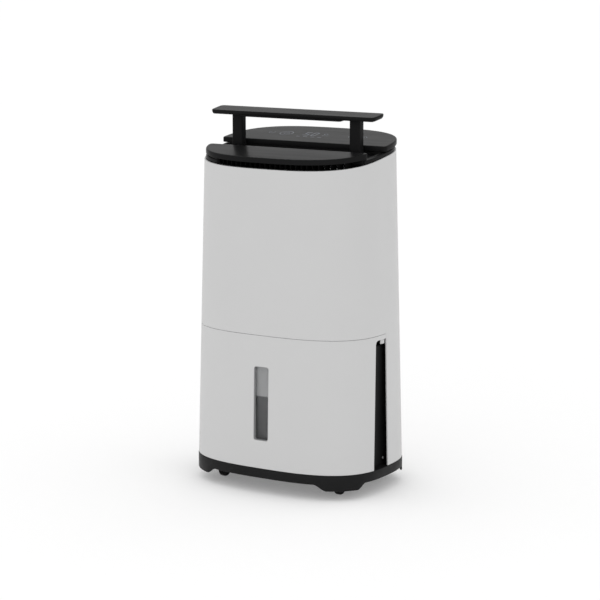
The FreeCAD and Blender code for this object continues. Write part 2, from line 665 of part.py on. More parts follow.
# ---------------------------------------------------------------- chassis
def make_bulkhead():
    """Black chassis around the tank's bay: rear wall, ceiling and two side wings."""
    top = BAY_CEILING_Z + SHEET
    rear = block(-144, 144, BULKHEAD_Y, BULKHEAD_Y + SHEET, BODY_FOOT_Z, top)
    ceiling = body_block(BAY_CEILING_Z, top, WALL + 0.6).common(block(-BIG, BIG, -BIG, BULKHEAD_Y + 1, 0, 600))
    parts = [rear, ceiling]
    for side in (-1, 1):
        inner, outer = sorted((side * (WING_OUTER_X - SHEET), side * WING_OUTER_X))
        parts.append(block(inner, outer, WING_FRONT_Y, WING_REAR_Y, BODY_FOOT_Z, WING_TOP_Z))
        inner, outer = sorted((side * 143, side * 145.5))
        parts.append(block(inner, outer, BULKHEAD_Y, BULKHEAD_Y + SHEET, BODY_FOOT_Z, WING_TOP_Z))
    chassis = fuse_all(parts)
    drip_way = block(-16, 16, 0, 20, 246, 268)
    return chassis.cut(drip_way)


def make_wing_screws():
    """Screws in the side wings; the low ones show in the finger slots."""
    screws = []
    for side in (-1, 1):
        for y, z in ((7.5, 50.0), (22.0, 222.0)):
            head = rod(WING_SCREW_RADIUS, vec(side * WING_OUTER_X, y, z), vec(side, 0, 0), 1.6)
            screws.append(head)
    return Part.makeCompound(screws)


def make_drip_tray():
    """Tray under the coils with a spout that runs forward over the tank."""
    low, high = DRIP_TRAY_Z, DRIP_TRAY_Z + 13
    tray = block(-122, 110, 34, 96, low, high).cut(block(-120, 108, 36, 94, low + 2, high + 1))
    gutter = block(-12, 12, -40, 35, low, high).cut(block(-10, 10, -38, 36.5, low + 2, high + 1))
    nozzle = rod(6.0, vec(0, -30, 236), Z_AXIS, low - 236 + 1)
    tray = tray.cut(block(-10, 10, 30, 37, low + 2, high + 1)).fuse(gutter).fuse(nozzle)
    tray = tray.cut(rod(4.4, vec(0, -30, 230), Z_AXIS, 24))
    tray = tray.cut(block(-10, 10, 30, 40, low + 2, high + 1))
    return tray.common(body_block(200, 300, WALL + 0.5)).removeSplitter()


def make_coil_fins(front_y):
    """Stack of flat fins, drilled for the tubes."""
    drills = Part.makeCompound(coil_rows(front_y))
    fins = []
    x = COIL_LEFT_X + 6
    while x < COIL_RIGHT_X - 6:
        fin = block(x, x + 0.9, front_y, front_y + COIL_DEPTH, COIL_LOW_Z, COIL_HIGH_Z)
        fins.append(fin.cut(drills))
        x += FIN_PITCH
    return Part.makeCompound(fins)


def coil_heights():
    pitch = (COIL_HIGH_Z - COIL_LOW_Z) / COIL_ROWS
    return [COIL_LOW_Z + pitch * (i + 0.5) for i in range(COIL_ROWS)]


def coil_rows(front_y):
    """Straight tubes of one coil."""
    y = front_y + COIL_DEPTH / 2
    length = COIL_RIGHT_X - COIL_LEFT_X
    return [rod(TUBE_RADIUS, vec(COIL_LEFT_X, y, z), X_AXIS, length) for z in coil_heights()]


def make_coil_tubes(front_y):
    """Serpentine tube: straight rows joined by square-cornered bends."""
    y = front_y + COIL_DEPTH / 2
    heights = coil_heights()
    parts = coil_rows(front_y)
    for i, (low, high) in enumerate(zip(heights, heights[1:])):
        x = COIL_RIGHT_X - TUBE_RADIUS if i % 2 == 0 else COIL_LEFT_X + TUBE_RADIUS
        parts.append(rod(TUBE_RADIUS, vec(x, y, low), Z_AXIS, high - low))
    return fuse_all(parts)


def make_compressor():
    """Hermetic compressor shell with a foot plate."""
    middle = vec(COMPRESSOR_X, COMPRESSOR_Y, 56)
    shell = rod(COMPRESSOR_RADIUS, middle, Z_AXIS, 168)
    shell = shell.makeFillet(20, [e for e in shell.Edges if e.Closed])
    foot = block(COMPRESSOR_X - 46, COMPRESSOR_X + 46, COMPRESSOR_Y - 34, COMPRESSOR_Y + 34, 54, 58)
    body = shell.fuse(foot)
    for x, y in compressor_feet():
        body = body.cut(rod(5.0, vec(x, y, 50), Z_AXIS, 12))
    return body.removeSplitter()


def compressor_feet():
    return [(COMPRESSOR_X + i * 39, COMPRESSOR_Y + j * 27) for i in (-1, 1) for j in (-1, 1)]


def make_compressor_grommets():
    """Rubber mounts under the foot plate."""
    mounts = []
    for x, y in compressor_feet():
        below = rod(8.0, vec(x, y, BODY_FOOT_Z), Z_AXIS, 54 - BODY_FOOT_Z)
        neck = rod(4.9, vec(x, y, 53), Z_AXIS, 7)
        mounts.append(below.fuse(neck).removeSplitter())
    return Part.makeCompound(mounts)


def make_accumulator():
    """Suction accumulator beside the compressor."""
    can = rod(17.0, vec(ACCUMULATOR_X, 62, 92), Z_AXIS, 104)
    return can.makeFillet(8, [e for e in can.Edges if e.Closed])


def make_pipes():
    """Copper pipes: accumulator to evaporator, and compressor to condenser."""
    low, high = coil_heights()[0], coil_heights()[-1]
    cold_y, warm_y = EVAPORATOR_Y + COIL_DEPTH / 2, CONDENSER_Y + COIL_DEPTH / 2
    suction = bent_pipe([(ACCUMULATOR_X, 62, 195), (ACCUMULATOR_X, 62, 228), (118, 74, 238), (118, cold_y, low),
                         (COIL_RIGHT_X, cold_y, low)], 3.2, 9)
    delivery = bent_pipe([(COMPRESSOR_X, COMPRESSOR_Y, 223), (COMPRESSOR_X, COMPRESSOR_Y, 240),
                          (-128, 50, 244), (-128, warm_y, high), (COIL_LEFT_X, warm_y, high)], 3.0, 7)
    return Part.makeCompound([suction, delivery])


def make_fan_scroll():
    """Fan housing: round shell with an inlet eye, and a chimney to the outlet."""
    length = SCROLL_REAR_Y - SCROLL_FRONT_Y
    middle = vec(0, SCROLL_FRONT_Y, FAN_Z)
    outer = rod(SCROLL_RADIUS, middle, Y_AXIS, length)
    outer = outer.fuse(block(-SCROLL_RADIUS, 0, SCROLL_FRONT_Y, SCROLL_REAR_Y, FAN_Z, 500))
    inner = rod(SCROLL_RADIUS - 2, middle + vec(0, 2, 0), Y_AXIS, length - 4)
    inner = inner.fuse(block(-SCROLL_RADIUS + 2, -2, SCROLL_FRONT_Y + 2, SCROLL_REAR_Y - 2, FAN_Z, 520))
    eye = rod(58.0, vec(0, 0, FAN_Z), Y_AXIS, 60)
    motor_hole = rod(40.0, vec(0, -40, FAN_Z), Y_AXIS, 30)
    return outer.cut(inner).cut(eye).cut(motor_hole).removeSplitter()


def make_impeller():
    """Forward-curved drum: back disc, hub, blades and front ring."""
    y0, y1 = SCROLL_FRONT_Y + 6, SCROLL_REAR_Y - 6
    disc = rod(IMPELLER_RADIUS, vec(0, y0, FAN_Z), Y_AXIS, 2)
    hub = rod(12.0, vec(0, y0, FAN_Z), Y_AXIS, 20)
    ring = tube(IMPELLER_RADIUS, IMPELLER_RADIUS - 9, vec(0, y1 - 2, FAN_Z), Y_AXIS, 2)
    parts = [disc, hub, ring]
    for i in range(BLADES):
        blade = block(IMPELLER_RADIUS - 10, IMPELLER_RADIUS - 1, y0 + 1, y1 - 1, FAN_Z - 0.7, FAN_Z + 0.7)
        blade.rotate(vec(IMPELLER_RADIUS - 5, 0, FAN_Z), Y_AXIS, 28)
        blade.rotate(vec(0, 0, FAN_Z), Y_AXIS, 360.0 * i / BLADES)
        parts.append(blade)
    drum = fuse_all(parts)
    return drum.cut(rod(3.0, vec(0, -100, FAN_Z), Y_AXIS, 200))


def make_motor_shaft():
    return rod(3.0, vec(0, -40, FAN_Z), Y_AXIS, 50)


def make_fan_motor():
    """Motor can on a cross bracket in front of the scroll."""
    can = rod(37.0, vec(0, -62, FAN_Z), Y_AXIS, 46)
    can = can.makeFillet(5, [e for e in can.Edges if e.Closed])
    bracket = block(-86, 86, -24, -20, FAN_Z - 12, FAN_Z + 12)
    bore = rod(3.06, vec(0, -45, FAN_Z), Y_AXIS, 60)
    pocket = rod(6.0, vec(0, -45, FAN_Z), Y_AXIS, 4)
    return can.fuse(bracket).cut(bore).cut(pocket).removeSplitter()


def make_control_box():
    """Box for the power board."""
    box = block(58, 128, 30, 74, 60, 190)
    return box.cut(block(60, 126, 28, 72, 62, 188))


def make_power_board():
    board = block(61, 125, 66, 67.6, 64, 186)
    relay = block(70, 92, 50, 66.5, 80, 100)
    coil = block(98, 120, 46, 66.5, 130, 156)
    return fuse_all([board, relay, coil])


def make_run_capacitor():
    can = rod(15.0, vec(36, 86, BODY_FOOT_Z), Z_AXIS, 62)
    return can.makeFillet(2, [e for e in can.Edges if e.Closed])


def make_sensors():
    """Reed switch housing behind the bay's wall, and the humidity sensor's board beside the coils."""
    back = BULKHEAD_Y + SHEET
    reed = block(108, 126, back, back + 9, 196, 212)
    humidity = block(112, 128, 60, 61.6, 380, 404).fuse(block(116, 124, 61, 64, 388, 396)).removeSplitter()
    return Part.makeCompound([reed, humidity])


def make_drain_spout():
    """Hose spout at the rear, with its flange and the pipe from the drip tray."""
    start, middle = SPOUT_END_Y - 36, SPOUT_END_Y - 30
    spout = rod(SPOUT_RADIUS, vec(DRAIN_X, start, DRAIN_Z), Y_AXIS, SPOUT_END_Y - start)
    flange = rod(10.0, vec(DRAIN_X, SPOUT_END_Y - 24, DRAIN_Z), Y_AXIS, 3)
    riser = rod(6.0, vec(DRAIN_X, middle, DRAIN_Z), Z_AXIS, DRIP_TRAY_Z - DRAIN_Z)
    bore = rod(SPOUT_BORE, vec(DRAIN_X, start + 3, DRAIN_Z), Y_AXIS, 60)
    inlet = rod(4.0, vec(DRAIN_X, middle, DRAIN_Z), Z_AXIS, 40)
    return fuse_all([spout, flange, riser]).cut(bore).cut(inlet)


def make_drain_plug():
    """Rubber stopper in the spout."""
    stem = rod(4.2, vec(DRAIN_X, 100, DRAIN_Z), Y_AXIS, 11)
    head = rod(5.8, vec(DRAIN_X, 110.3, DRAIN_Z), Y_AXIS, 3.2)
    return stem.fuse(head).removeSplitter()


def make_mains_gland():
    """Ring that the mains lead leaves through."""
    ring = tube(8.8, LEAD_RADIUS, vec(GLAND_X, 94, GLAND_Z), Y_AXIS, 17)
    collar = tube(11.0, LEAD_RADIUS, vec(GLAND_X, 94, GLAND_Z), Y_AXIS, 3)
    return ring.fuse(collar).removeSplitter()


def make_rear_screws():
    """Heads of the screws that hold the rear cover."""
    screws = []
    for side in (-1, 1):
        for z in (62.0, 244.0, 500.0):
            x = side * 112.0
            half_x, half_y = BODY_HALF_X - lean(z), BODY_HALF_Y - lean(z)
            y = -outline_y(x, half_x, half_y)
            shank = rod(1.6, vec(x, y - 12, z), Y_AXIS, 12)
            head = rod(3.4, vec(x, y - 3, z), Y_AXIS, 3)
            screws.append(shank.fuse(head).removeSplitter())
    return Part.makeCompound(screws)


def cut_screw_holes(cover, screws):
    """Seats in the rear cover for the screws."""
    for screw in screws.Solids:
        middle = screw.BoundBox
        x = (middle.XMin + middle.XMax) / 2
        z = (middle.ZMin + middle.ZMax) / 2
        cover = cover.cut(rod(3.7, vec(x, middle.YMin, z), Y_AXIS, 40))
    return cover


# ---------------------------------------------------------------- all nodes
def build_nodes():
    nodes = {
        "base_band": make_base_band(),
        "base_plate": make_base_plate(),
        "base_bosses": make_base_bosses(),
        "main_casing": make_main_casing(),
        "intake_grille": make_intake_grille(),
        "filter_frame": make_filter_frame(),
        "filter_mesh": make_filter_mesh(),
        "deck_frame": make_deck_frame(),
        "front_plate": make_front_plate(),
        "control_plate": make_control_plate(),
        "display_board": make_display_board(),
        "outlet_fins": make_outlet_fins(),
        "handle_bar": make_handle_bar(),
        "handle_posts": make_handle_posts(),
        "handle_guides": make_handle_guides(),
        "tank_front": make_tank_front(),
        "tank_window": make_tank_window(),
        "tank_bucket": make_tank_bucket(),
        "tank_lid": make_tank_lid(),
        "tank_bail": make_tank_bail(),
        "float_arm": make_float_arm(),
        "float_block": make_float_block(),
        "float_pin": make_float_pin(),
        "tank_screws": make_tank_screws(),
        "bay_chassis": make_bulkhead(),
        "wing_screws": make_wing_screws(),
        "drip_tray": make_drip_tray(),
        "condenser_fins": make_coil_fins(CONDENSER_Y),
        "condenser_tubes": make_coil_tubes(CONDENSER_Y),
        "evaporator_fins": make_coil_fins(EVAPORATOR_Y),
        "evaporator_tubes": make_coil_tubes(EVAPORATOR_Y),
        "compressor": make_compressor(),
        "compressor_grommets": make_compressor_grommets(),
        "accumulator": make_accumulator(),
        "refrigerant_pipes": make_pipes(),
        "fan_scroll": make_fan_scroll(),
        "fan_impeller": make_impeller(),
        "motor_shaft": make_motor_shaft(),
        "fan_motor": make_fan_motor(),
        "control_box": make_control_box(),
        "power_board": make_power_board(),
        "run_capacitor": make_run_capacitor(),
        "sensors": make_sensors(),
        "drain_spout": make_drain_spout(),
        "drain_plug": make_drain_plug(),
        "mains_gland": make_mains_gland(),
        "rear_screws": make_rear_screws(),
    }
    nodes["rear_cover"] = cut_screw_holes(make_rear_cover(), nodes["rear_screws"])
    for name, side, end in caster_places():
        nodes["caster_fork_" + name] = place_caster(make_caster_fork(), side, end)
        nodes["caster_axle_" + name] = place_caster(make_caster_axle(), side, end)
        nodes["caster_wheel_" + name] = place_caster(make_caster_wheel(), side, end)
    return nodes


def main():
    os.makedirs("parts", exist_ok=True)
    for name, shape in build_nodes().items():
        box = shape.BoundBox
        print("%-28s solids %3d  x %.1f %.1f  y %.1f %.1f  z %.1f %.1f  valid %s" % (
            name, len(shape.Solids), box.XMin, box.XMax, box.YMin, box.YMax,
            box.ZMin, box.ZMax, shape.isValid()))
        shape.exportStep("parts/" + name + ".step")


main()
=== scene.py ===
"""Finished model of a tower dehumidifier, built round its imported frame.

Lengths are in millimetres until a mesh is made; Blender's own units are metres.
+Z is up, the front faces -Y and +X is the right side seen from the front.
"""

import json
import logging
import math
from dataclasses import dataclass, field
from enum import Enum
from typing import Callable, Sequence

import bmesh
import bpy
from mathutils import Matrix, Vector

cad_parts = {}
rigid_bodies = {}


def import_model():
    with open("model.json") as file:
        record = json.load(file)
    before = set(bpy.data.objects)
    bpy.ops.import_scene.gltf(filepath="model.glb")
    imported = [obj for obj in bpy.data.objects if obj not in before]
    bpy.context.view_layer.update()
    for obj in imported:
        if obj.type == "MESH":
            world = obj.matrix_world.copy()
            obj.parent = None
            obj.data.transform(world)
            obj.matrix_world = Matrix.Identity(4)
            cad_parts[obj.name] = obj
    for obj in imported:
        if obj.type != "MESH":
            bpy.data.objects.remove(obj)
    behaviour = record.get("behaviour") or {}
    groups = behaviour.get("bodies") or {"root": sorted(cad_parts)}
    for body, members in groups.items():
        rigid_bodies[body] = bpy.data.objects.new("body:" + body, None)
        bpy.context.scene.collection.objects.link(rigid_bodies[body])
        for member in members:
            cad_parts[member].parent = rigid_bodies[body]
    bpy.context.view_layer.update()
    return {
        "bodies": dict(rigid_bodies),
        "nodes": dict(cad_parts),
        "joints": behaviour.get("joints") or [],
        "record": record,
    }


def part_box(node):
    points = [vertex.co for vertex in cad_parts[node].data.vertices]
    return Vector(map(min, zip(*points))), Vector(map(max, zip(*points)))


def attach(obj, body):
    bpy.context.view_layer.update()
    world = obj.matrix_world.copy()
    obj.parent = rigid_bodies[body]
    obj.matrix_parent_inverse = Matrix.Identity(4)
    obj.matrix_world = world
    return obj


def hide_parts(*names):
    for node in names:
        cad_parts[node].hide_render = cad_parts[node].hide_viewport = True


LOG = logging.getLogger("dehumidifier")
MM = 0.001

Point2 = tuple[float, float]
Point3 = tuple[float, float, float]
Colour = tuple[float, float, float]
Loop = list[Point2]
Lift = Callable[[float, float, float], Point3]
Socket = bpy.types.NodeSocket
Vert = bmesh.types.BMVert

TINY = 1e-9            # lengths below this count as none
DECK_TILT = 8.2        # degrees that the rim and the deck rise towards the back
SETTLE_ROUNDS = 6      # rounds that find a corner's height on the tilted rim


class Body(Enum):
    """The moving bodies that pieces ride on."""

    CHASSIS = "chassis"
    HANDLE = "handle"
    TANK = "tank"
    BAIL = "bail"
    FLOAT = "float"
    GRILLE = "grille"
    PLUG = "plug"


class Way(Enum):
    """Directions that round pieces are turned about."""

    X = (1.0, 0.0, 0.0)
    Y = (0.0, 1.0, 0.0)
    Z = (0.0, 0.0, 1.0)


# each caster's name, and whether it is at the front (-1) or the rear (1)
CASTERS: dict[str, float] = {"front_left": -1.0, "front_right": -1.0, "rear_left": 1.0, "rear_right": 1.0}


# ------------------------------------------------------------------ plan outlines
@dataclass(frozen=True)
class Outline:
    """Superellipse plan, |x/a|^n + |y/b|^n = 1."""

    half_x: float
    half_y: float
    power: float = 2.9

    def point(self, turn: float) -> Point2:
        """Point of the outline at a turn.

        Args:
            turn: Degrees from +X towards +Y.

        Returns:
            The point in X and Y.
        """
        c, s = math.cos(math.radians(turn)), math.sin(math.radians(turn))
        share = 2 / self.power
        return (
            self.half_x * math.copysign(abs(c) ** share, c),
            self.half_y * math.copysign(abs(s) ** share, s),
        )

    def turn_at(self, y: float) -> float:
        """Turn on the +X side where the outline has this y."""
        share = min(abs(y) / self.half_y, 1.0) ** (self.power / 2)
        return math.copysign(math.degrees(math.asin(share)), y)

    def reach_y(self, x: float) -> float:
        """Distance from the middle plane to the outline at this x."""
        share = min(abs(x) / self.half_x, 1.0) ** self.power
        return self.half_y * (1 - share) ** (1 / self.power)

    def loop(self, count: int = 200) -> Loop:
        """The whole outline, anticlockwise."""
        return [self.point(360 * i / count) for i in range(count)]


def clip(points: Loop, axis: int, limit: float, above: bool) -> Loop:
    """Cuts a convex loop with a line across one axis.

    Args:
        points: The loop's corners.
        axis: 0 to cut across X, 1 across Y.
        limit: Where the line lies.
        above: True keeps what is beyond the line.

    Returns:
        The kept part as a loop.
    """
    sign = 1.0 if above else -1.0
    kept: Loop = []
    for here, there in zip(points, points[1:] + points[:1]):
        side_here, side_there = (sign * (p[axis] - limit) for p in (here, there))
        if side_here >= 0:
            kept.append(here)
        if side_here * side_there < 0:
            share = side_here / (side_here - side_there)
            kept.append((here[0] + (there[0] - here[0]) * share, here[1] + (there[1] - here[1]) * share))
    return kept


def round_corners(points: Loop, reach: float, sharp: float = 25.0, steps: int = 8) -> Loop:
    """Replaces each sharp corner of a loop with a smooth bend.

    Args:
        points: The loop's corners.
        reach: How far from the corner the bend starts.
        sharp: The least turn, in degrees, that counts as a corner.
        steps: Pieces in each bend.

    Returns:
        The rounded loop.
    """
    loop = [Vector(p) for p in points]
    count = len(loop)
    bends: dict[int, Loop] = {}
    dropped: set[int] = set()
    for i in range(count):
        before, after = loop[i] - loop[i - 1], loop[(i + 1) % count] - loop[i]
        if min(before.length, after.length) < TINY or math.degrees(before.angle(after)) < sharp:
            continue
        ends = []
        for way in (-1, 1):
            left, at, j = reach, loop[i], i
            while (loop[(j + way) % count] - at).length < left:
                j = (j + way) % count
                left -= (loop[j] - at).length
                at = loop[j]
                dropped.add(j)
            ends.append(at + (loop[(j + way) % count] - at).normalized() * left)
        bends[i] = [
            tuple(ends[0].lerp(loop[i], t).lerp(loop[i].lerp(ends[1], t), t))
            for t in (k / steps for k in range(steps + 1))
        ]
    result: Loop = []
    for i in range(count):
        if i in bends:
            result.extend(bends[i])
        elif i not in dropped:
            result.append(tuple(loop[i]))
    return result


def shrink(points: Loop, inset: float) -> Loop:
    """Moves an anticlockwise loop's edges inward.

    Args:
        points: The loop's corners.
        inset: How far the edges move; below 0 they move outward.

    Returns:
        The moved loop.
    """
    count = len(points)
    least_blend = 0.3   # keeps the sharpest corners from running away
    moved: Loop = []
    for i in range(count):
        a, b, c = (Vector(points[(i + k) % count]) for k in (-1, 0, 1))
        back, ahead = (b - a).normalized(), (c - b).normalized()
        normals = Vector((-back.y, back.x)), Vector((-ahead.y, ahead.x))
        blend = (normals[0] + normals[1]) / max(1 + normals[0].dot(normals[1]), least_blend)
        moved.append(tuple(b + blend * inset))
    return moved


def rectangle(x0: float, x1: float, y0: float, y1: float, corner: float = 0.0) -> Loop:
    """Rectangle as an anticlockwise loop, its corners rounded."""
    loop: Loop = [(x0, y0), (x1, y0), (x1, y1), (x0, y1)]
    return round_corners(loop, corner) if corner else loop


def spread(low: float, high: float, count: int, hem: float = 0.0) -> list[float]:
    """Even steps from one value to another, with an extra step a hem in from each end.

    Args:
        low: The first value.
        high: The last value.
        count: How many even steps.
        hem: Width of the extra steps, or 0 for none.

    Returns:
        The values in order.
    """
    even = [low + (high - low) * i / count for i in range(count + 1)]
    if hem and abs(high - low) > 3 * hem:
        push = math.copysign(hem, high - low)
        even[1:1] = [low + push]
        even[-1:-1] = [high - push]
    return sorted(set(even), reverse=high < low)


# ------------------------------------------------------------------ finishes
class Board:
    """A material's node board, with short ways to place the usual nodes."""

    def __init__(self, name: str) -> None:
        """Starts a material with a bare surface shader.

        Args:
            name: The material's name.
        """
        self.material = bpy.data.materials.new(name)
        self.material.use_nodes = True
        self.nodes = self.material.node_tree.nodes
        self.links = self.material.node_tree.links
        self.shader = self.nodes["Principled BSDF"]
        self.place = self.nodes.new("ShaderNodeTexCoord").outputs["Object"]

    def set(self, **values: object) -> None:
        """Sets the shader's own sockets; underscores stand for spaces."""
        for key, value in values.items():
            self.shader.inputs[key.replace("_", " ")].default_value = value

    def stretched(self, scale: Point3) -> Socket:
        """The piece's own coordinates, stretched along its axes.

        Args:
            scale: Factor along each axis.

        Returns:
            The stretched coordinates.
        """
        node = self.nodes.new("ShaderNodeMapping")
        node.inputs["Scale"].default_value = scale
        self.links.new(self.place, node.inputs["Vector"])
        return node.outputs["Vector"]

    def noise(self, size: float, detail: float = 3.0, at: Socket | None = None) -> Socket:
        """Soft noise.

        Args:
            size: Width of its blobs, in millimetres.
            detail: Finer layers laid over them.
            at: Coordinates to use in place of the piece's own.

        Returns:
            The pattern, 0 to 1.
        """
        node = self.nodes.new("ShaderNodeTexNoise")
        node.inputs["Scale"].default_value = 1 / (size * MM)
        node.inputs["Detail"].default_value = detail
        self.links.new(at or self.place, node.inputs["Vector"])
        return node.outputs["Fac"]

    def cells(self, size: float, feature: str = "F1") -> Socket:
        """Distance pattern of irregular cells.

        Args:
            size: Width of a cell, in millimetres.
            feature: What the distance is measured to.

        Returns:
            The pattern.
        """
        node = self.nodes.new("ShaderNodeTexVoronoi")
        node.feature = feature
        node.inputs["Scale"].default_value = 1 / (size * MM)
        self.links.new(self.place, node.inputs["Vector"])
        return node.outputs["Distance"]

    def height(self) -> Socket:
        """Height above the floor at rest.

        Returns:
            The height in metres.
        """
        node = self.nodes.new("ShaderNodeSeparateXYZ")
        self.links.new(self.place, node.inputs[0])
        return node.outputs["Z"]

    def ranged(
        self, value: Socket, low: float, high: float, start: float = 0.0, end: float = 1.0
    ) -> Socket:
        """Maps a pattern to another range.

        Args:
            value: The pattern.
            low: What start becomes.
            high: What end becomes.
            start: Where the pattern's used part begins.
            end: Where it ends.

        Returns:
            The mapped pattern.
        """
        node = self.nodes.new("ShaderNodeMapRange")
        for key, number in zip(("From Min", "From Max", "To Min", "To Max"), (start, end, low, high)):
            node.inputs[key].default_value = number
        self.links.new(value, node.inputs["Value"])
        return node.outputs["Result"]

    def mixed(self, factor: Socket, a: Colour, b: Colour) -> Socket:
        """Mixes two colours.

        Args:
            factor: The share of the second colour.
            a: The first colour.
            b: The second colour.

        Returns:
            The mixed colour.
        """
        node = self.nodes.new("ShaderNodeMix")
        node.data_type = "RGBA"
        sockets = {socket.identifier: socket for socket in node.inputs}
        sockets["A_Color"].default_value = (*a, 1.0)
        sockets["B_Color"].default_value = (*b, 1.0)
        self.links.new(factor, sockets["Factor_Float"])
        return next(s for s in node.outputs if s.identifier == "Result_Color")

    def over(self, factor: Socket, under: Socket, b: Colour) -> Socket:
        """Mixes a plain colour over a pattern's colour.

        Args:
            factor: The share of the plain colour.
            under: The pattern's colour.
            b: The plain colour.

        Returns:
            The mixed colour.
        """
        mixed = self.mixed(factor, b, b)
        self.links.new(under, next(s for s in mixed.node.inputs if s.identifier == "A_Color"))
        return mixed

    def times(self, a: Socket, b: Socket) -> Socket:
        """Multiplies two patterns.

        Args:
            a: One pattern.
            b: The other.

        Returns:
            Their product.
        """
        node = self.nodes.new("ShaderNodeMath")
        node.operation = "MULTIPLY"
        self.links.new(a, node.inputs[0])
        self.links.new(b, node.inputs[1])
        return node.outputs[0]

    def bump(self, value: Socket, depth: float, under: Socket | None = None) -> Socket:
        """Makes a pattern into relief.

        Args:
            value: The pattern.
            depth: Its depth in millimetres.
            under: Relief that this lies on.

        Returns:
            The surface direction.
        """
        node = self.nodes.new("ShaderNodeBump")
        node.inputs["Distance"].default_value = depth * MM
        node.inputs["Strength"].default_value = 1.0
        self.links.new(value, node.inputs["Height"])
        if under is not None:
            self.links.new(under, node.inputs["Normal"])
        return node.outputs["Normal"]

    def feed(self, key: str, socket: Socket) -> None:
        """Links a pattern to one of the shader's sockets."""
        self.links.new(socket, self.shader.inputs[key])


def shade(colour: Colour, factor: float) -> Colour:
    """A colour made lighter or darker."""
    return tuple(min(1.0, c * factor) for c in colour)


@dataclass(frozen=True)
class Finish:
    """What every finish has: its slot's name and its main colour."""

    slot: str
    colour: Colour

    def make(self) -> bpy.types.Material:
        """Builds the material.

        Returns:
            The finished material.
        """
        board = Board(self.slot)
        self.paint(board)
        return board.material

    def paint(self, board: Board) -> None:
        """Places the finish's nodes on a bare board."""
        raise NotImplementedError


@dataclass(frozen=True)
class Moulding(Finish):
    """Moulded plastic: fine spark-eroded grain, faint flow marks and uneven sheen."""

    roughness: float
    specular: float
    grain: float = 0.55
    relief: float = 0.012
    mottle: float = 0.03
    sheen_spread: float = 0.06

    def paint(self, board: Board) -> None:
        """Places the finish's nodes.

        Args:
            board: The bare board.
        """
        board.set(Specular_IOR_Level=self.specular, IOR=1.46)
        flow = board.noise(70, 2.0)
        speck = board.noise(1.4, 2.0)
        tone = board.mixed(flow, shade(self.colour, 1 - self.mottle), shade(self.colour, 1 + self.mottle))
        board.feed("Base Color", tone)
        low, high = self.roughness - self.sheen_spread, self.roughness + self.sheen_spread
        board.feed("Roughness", board.ranged(board.noise(18, 3.0), low, high, 0.3, 0.7))
        pores = board.bump(board.noise(self.grain, 2.0), self.relief)
        board.feed("Normal", board.bump(speck, self.relief * 0.6, pores))


@dataclass(frozen=True)
class GlossDeck(Finish):
    """Smooth black moulding with a soft mirror, hairline swirls and a little dust."""

    dust: Colour
    roughness: float = 0.30
    specular: float = 0.035

    def paint(self, board: Board) -> None:
        """Places the finish's nodes.

        Args:
            board: The bare board.
        """
        board.set(Specular_IOR_Level=self.specular, IOR=1.46)
        specks = board.ranged(board.noise(0.9, 1.0), 0.0, 0.55, 0.66, 0.78)
        board.feed("Base Color", board.mixed(specks, self.colour, self.dust))
        wiped = board.noise(9, 4.0, board.stretched((0.12, 1.0, 1.0)))
        board.feed("Roughness", board.ranged(wiped, self.roughness - 0.02, self.roughness + 0.03, 0.3, 0.7))
        board.feed("Normal", board.bump(board.noise(0.7, 2.0), 0.003))


@dataclass(frozen=True)
class Metal(Finish):
    """Rolled, drawn or plated metal with long fine marks."""

    roughness: float
    stretch: Point3 = (1.0, 1.0, 0.05)
    tarnish: float = 0.18

    def paint(self, board: Board) -> None:
        """Places the finish's nodes.

        Args:
            board: The bare board.
        """
        board.set(Metallic=1.0)
        marks = board.noise(0.5, 3.0, board.stretched(self.stretch))
        stain = board.noise(22, 4.0)
        board.feed("Base Color", board.mixed(stain, shade(self.colour, 1 - self.tarnish), self.colour))
        board.feed("Roughness", board.ranged(marks, self.roughness - 0.08, self.roughness + 0.14, 0.3, 0.7))
        board.feed("Normal", board.bump(marks, 0.006))


@dataclass(frozen=True)
class Foam(Finish):
    """Closed-cell foam with a skin of small cells."""

    def paint(self, board: Board) -> None:
        """Places the finish's nodes.

        Args:
            board: The bare board.
        """
        board.set(Roughness=0.9, Specular_IOR_Level=0.2)
        cells = board.cells(1.3)
        walls = board.ranged(cells, 0.0, 1.0, 0.1, 0.7)
        board.feed("Base Color", board.mixed(walls, self.colour, shade(self.colour, 0.72)))
        board.feed("Normal", board.bump(cells, 0.12))


@dataclass(frozen=True)
class CircuitBoard(Finish):
    """Green solder mask over a maze of tracks."""

    def paint(self, board: Board) -> None:
        """Places the finish's nodes.

        Args:
            board: The bare board.
        """
        board.set(Specular_IOR_Level=0.5, Roughness=0.32)
        tracks = board.ranged(board.cells(3.2, "DISTANCE_TO_EDGE"), 1.0, 0.0, 0.05, 0.09)
        board.feed("Base Color", board.mixed(tracks, self.colour, shade(self.colour, 2.1)))
        board.feed("Normal", board.bump(tracks, 0.05))


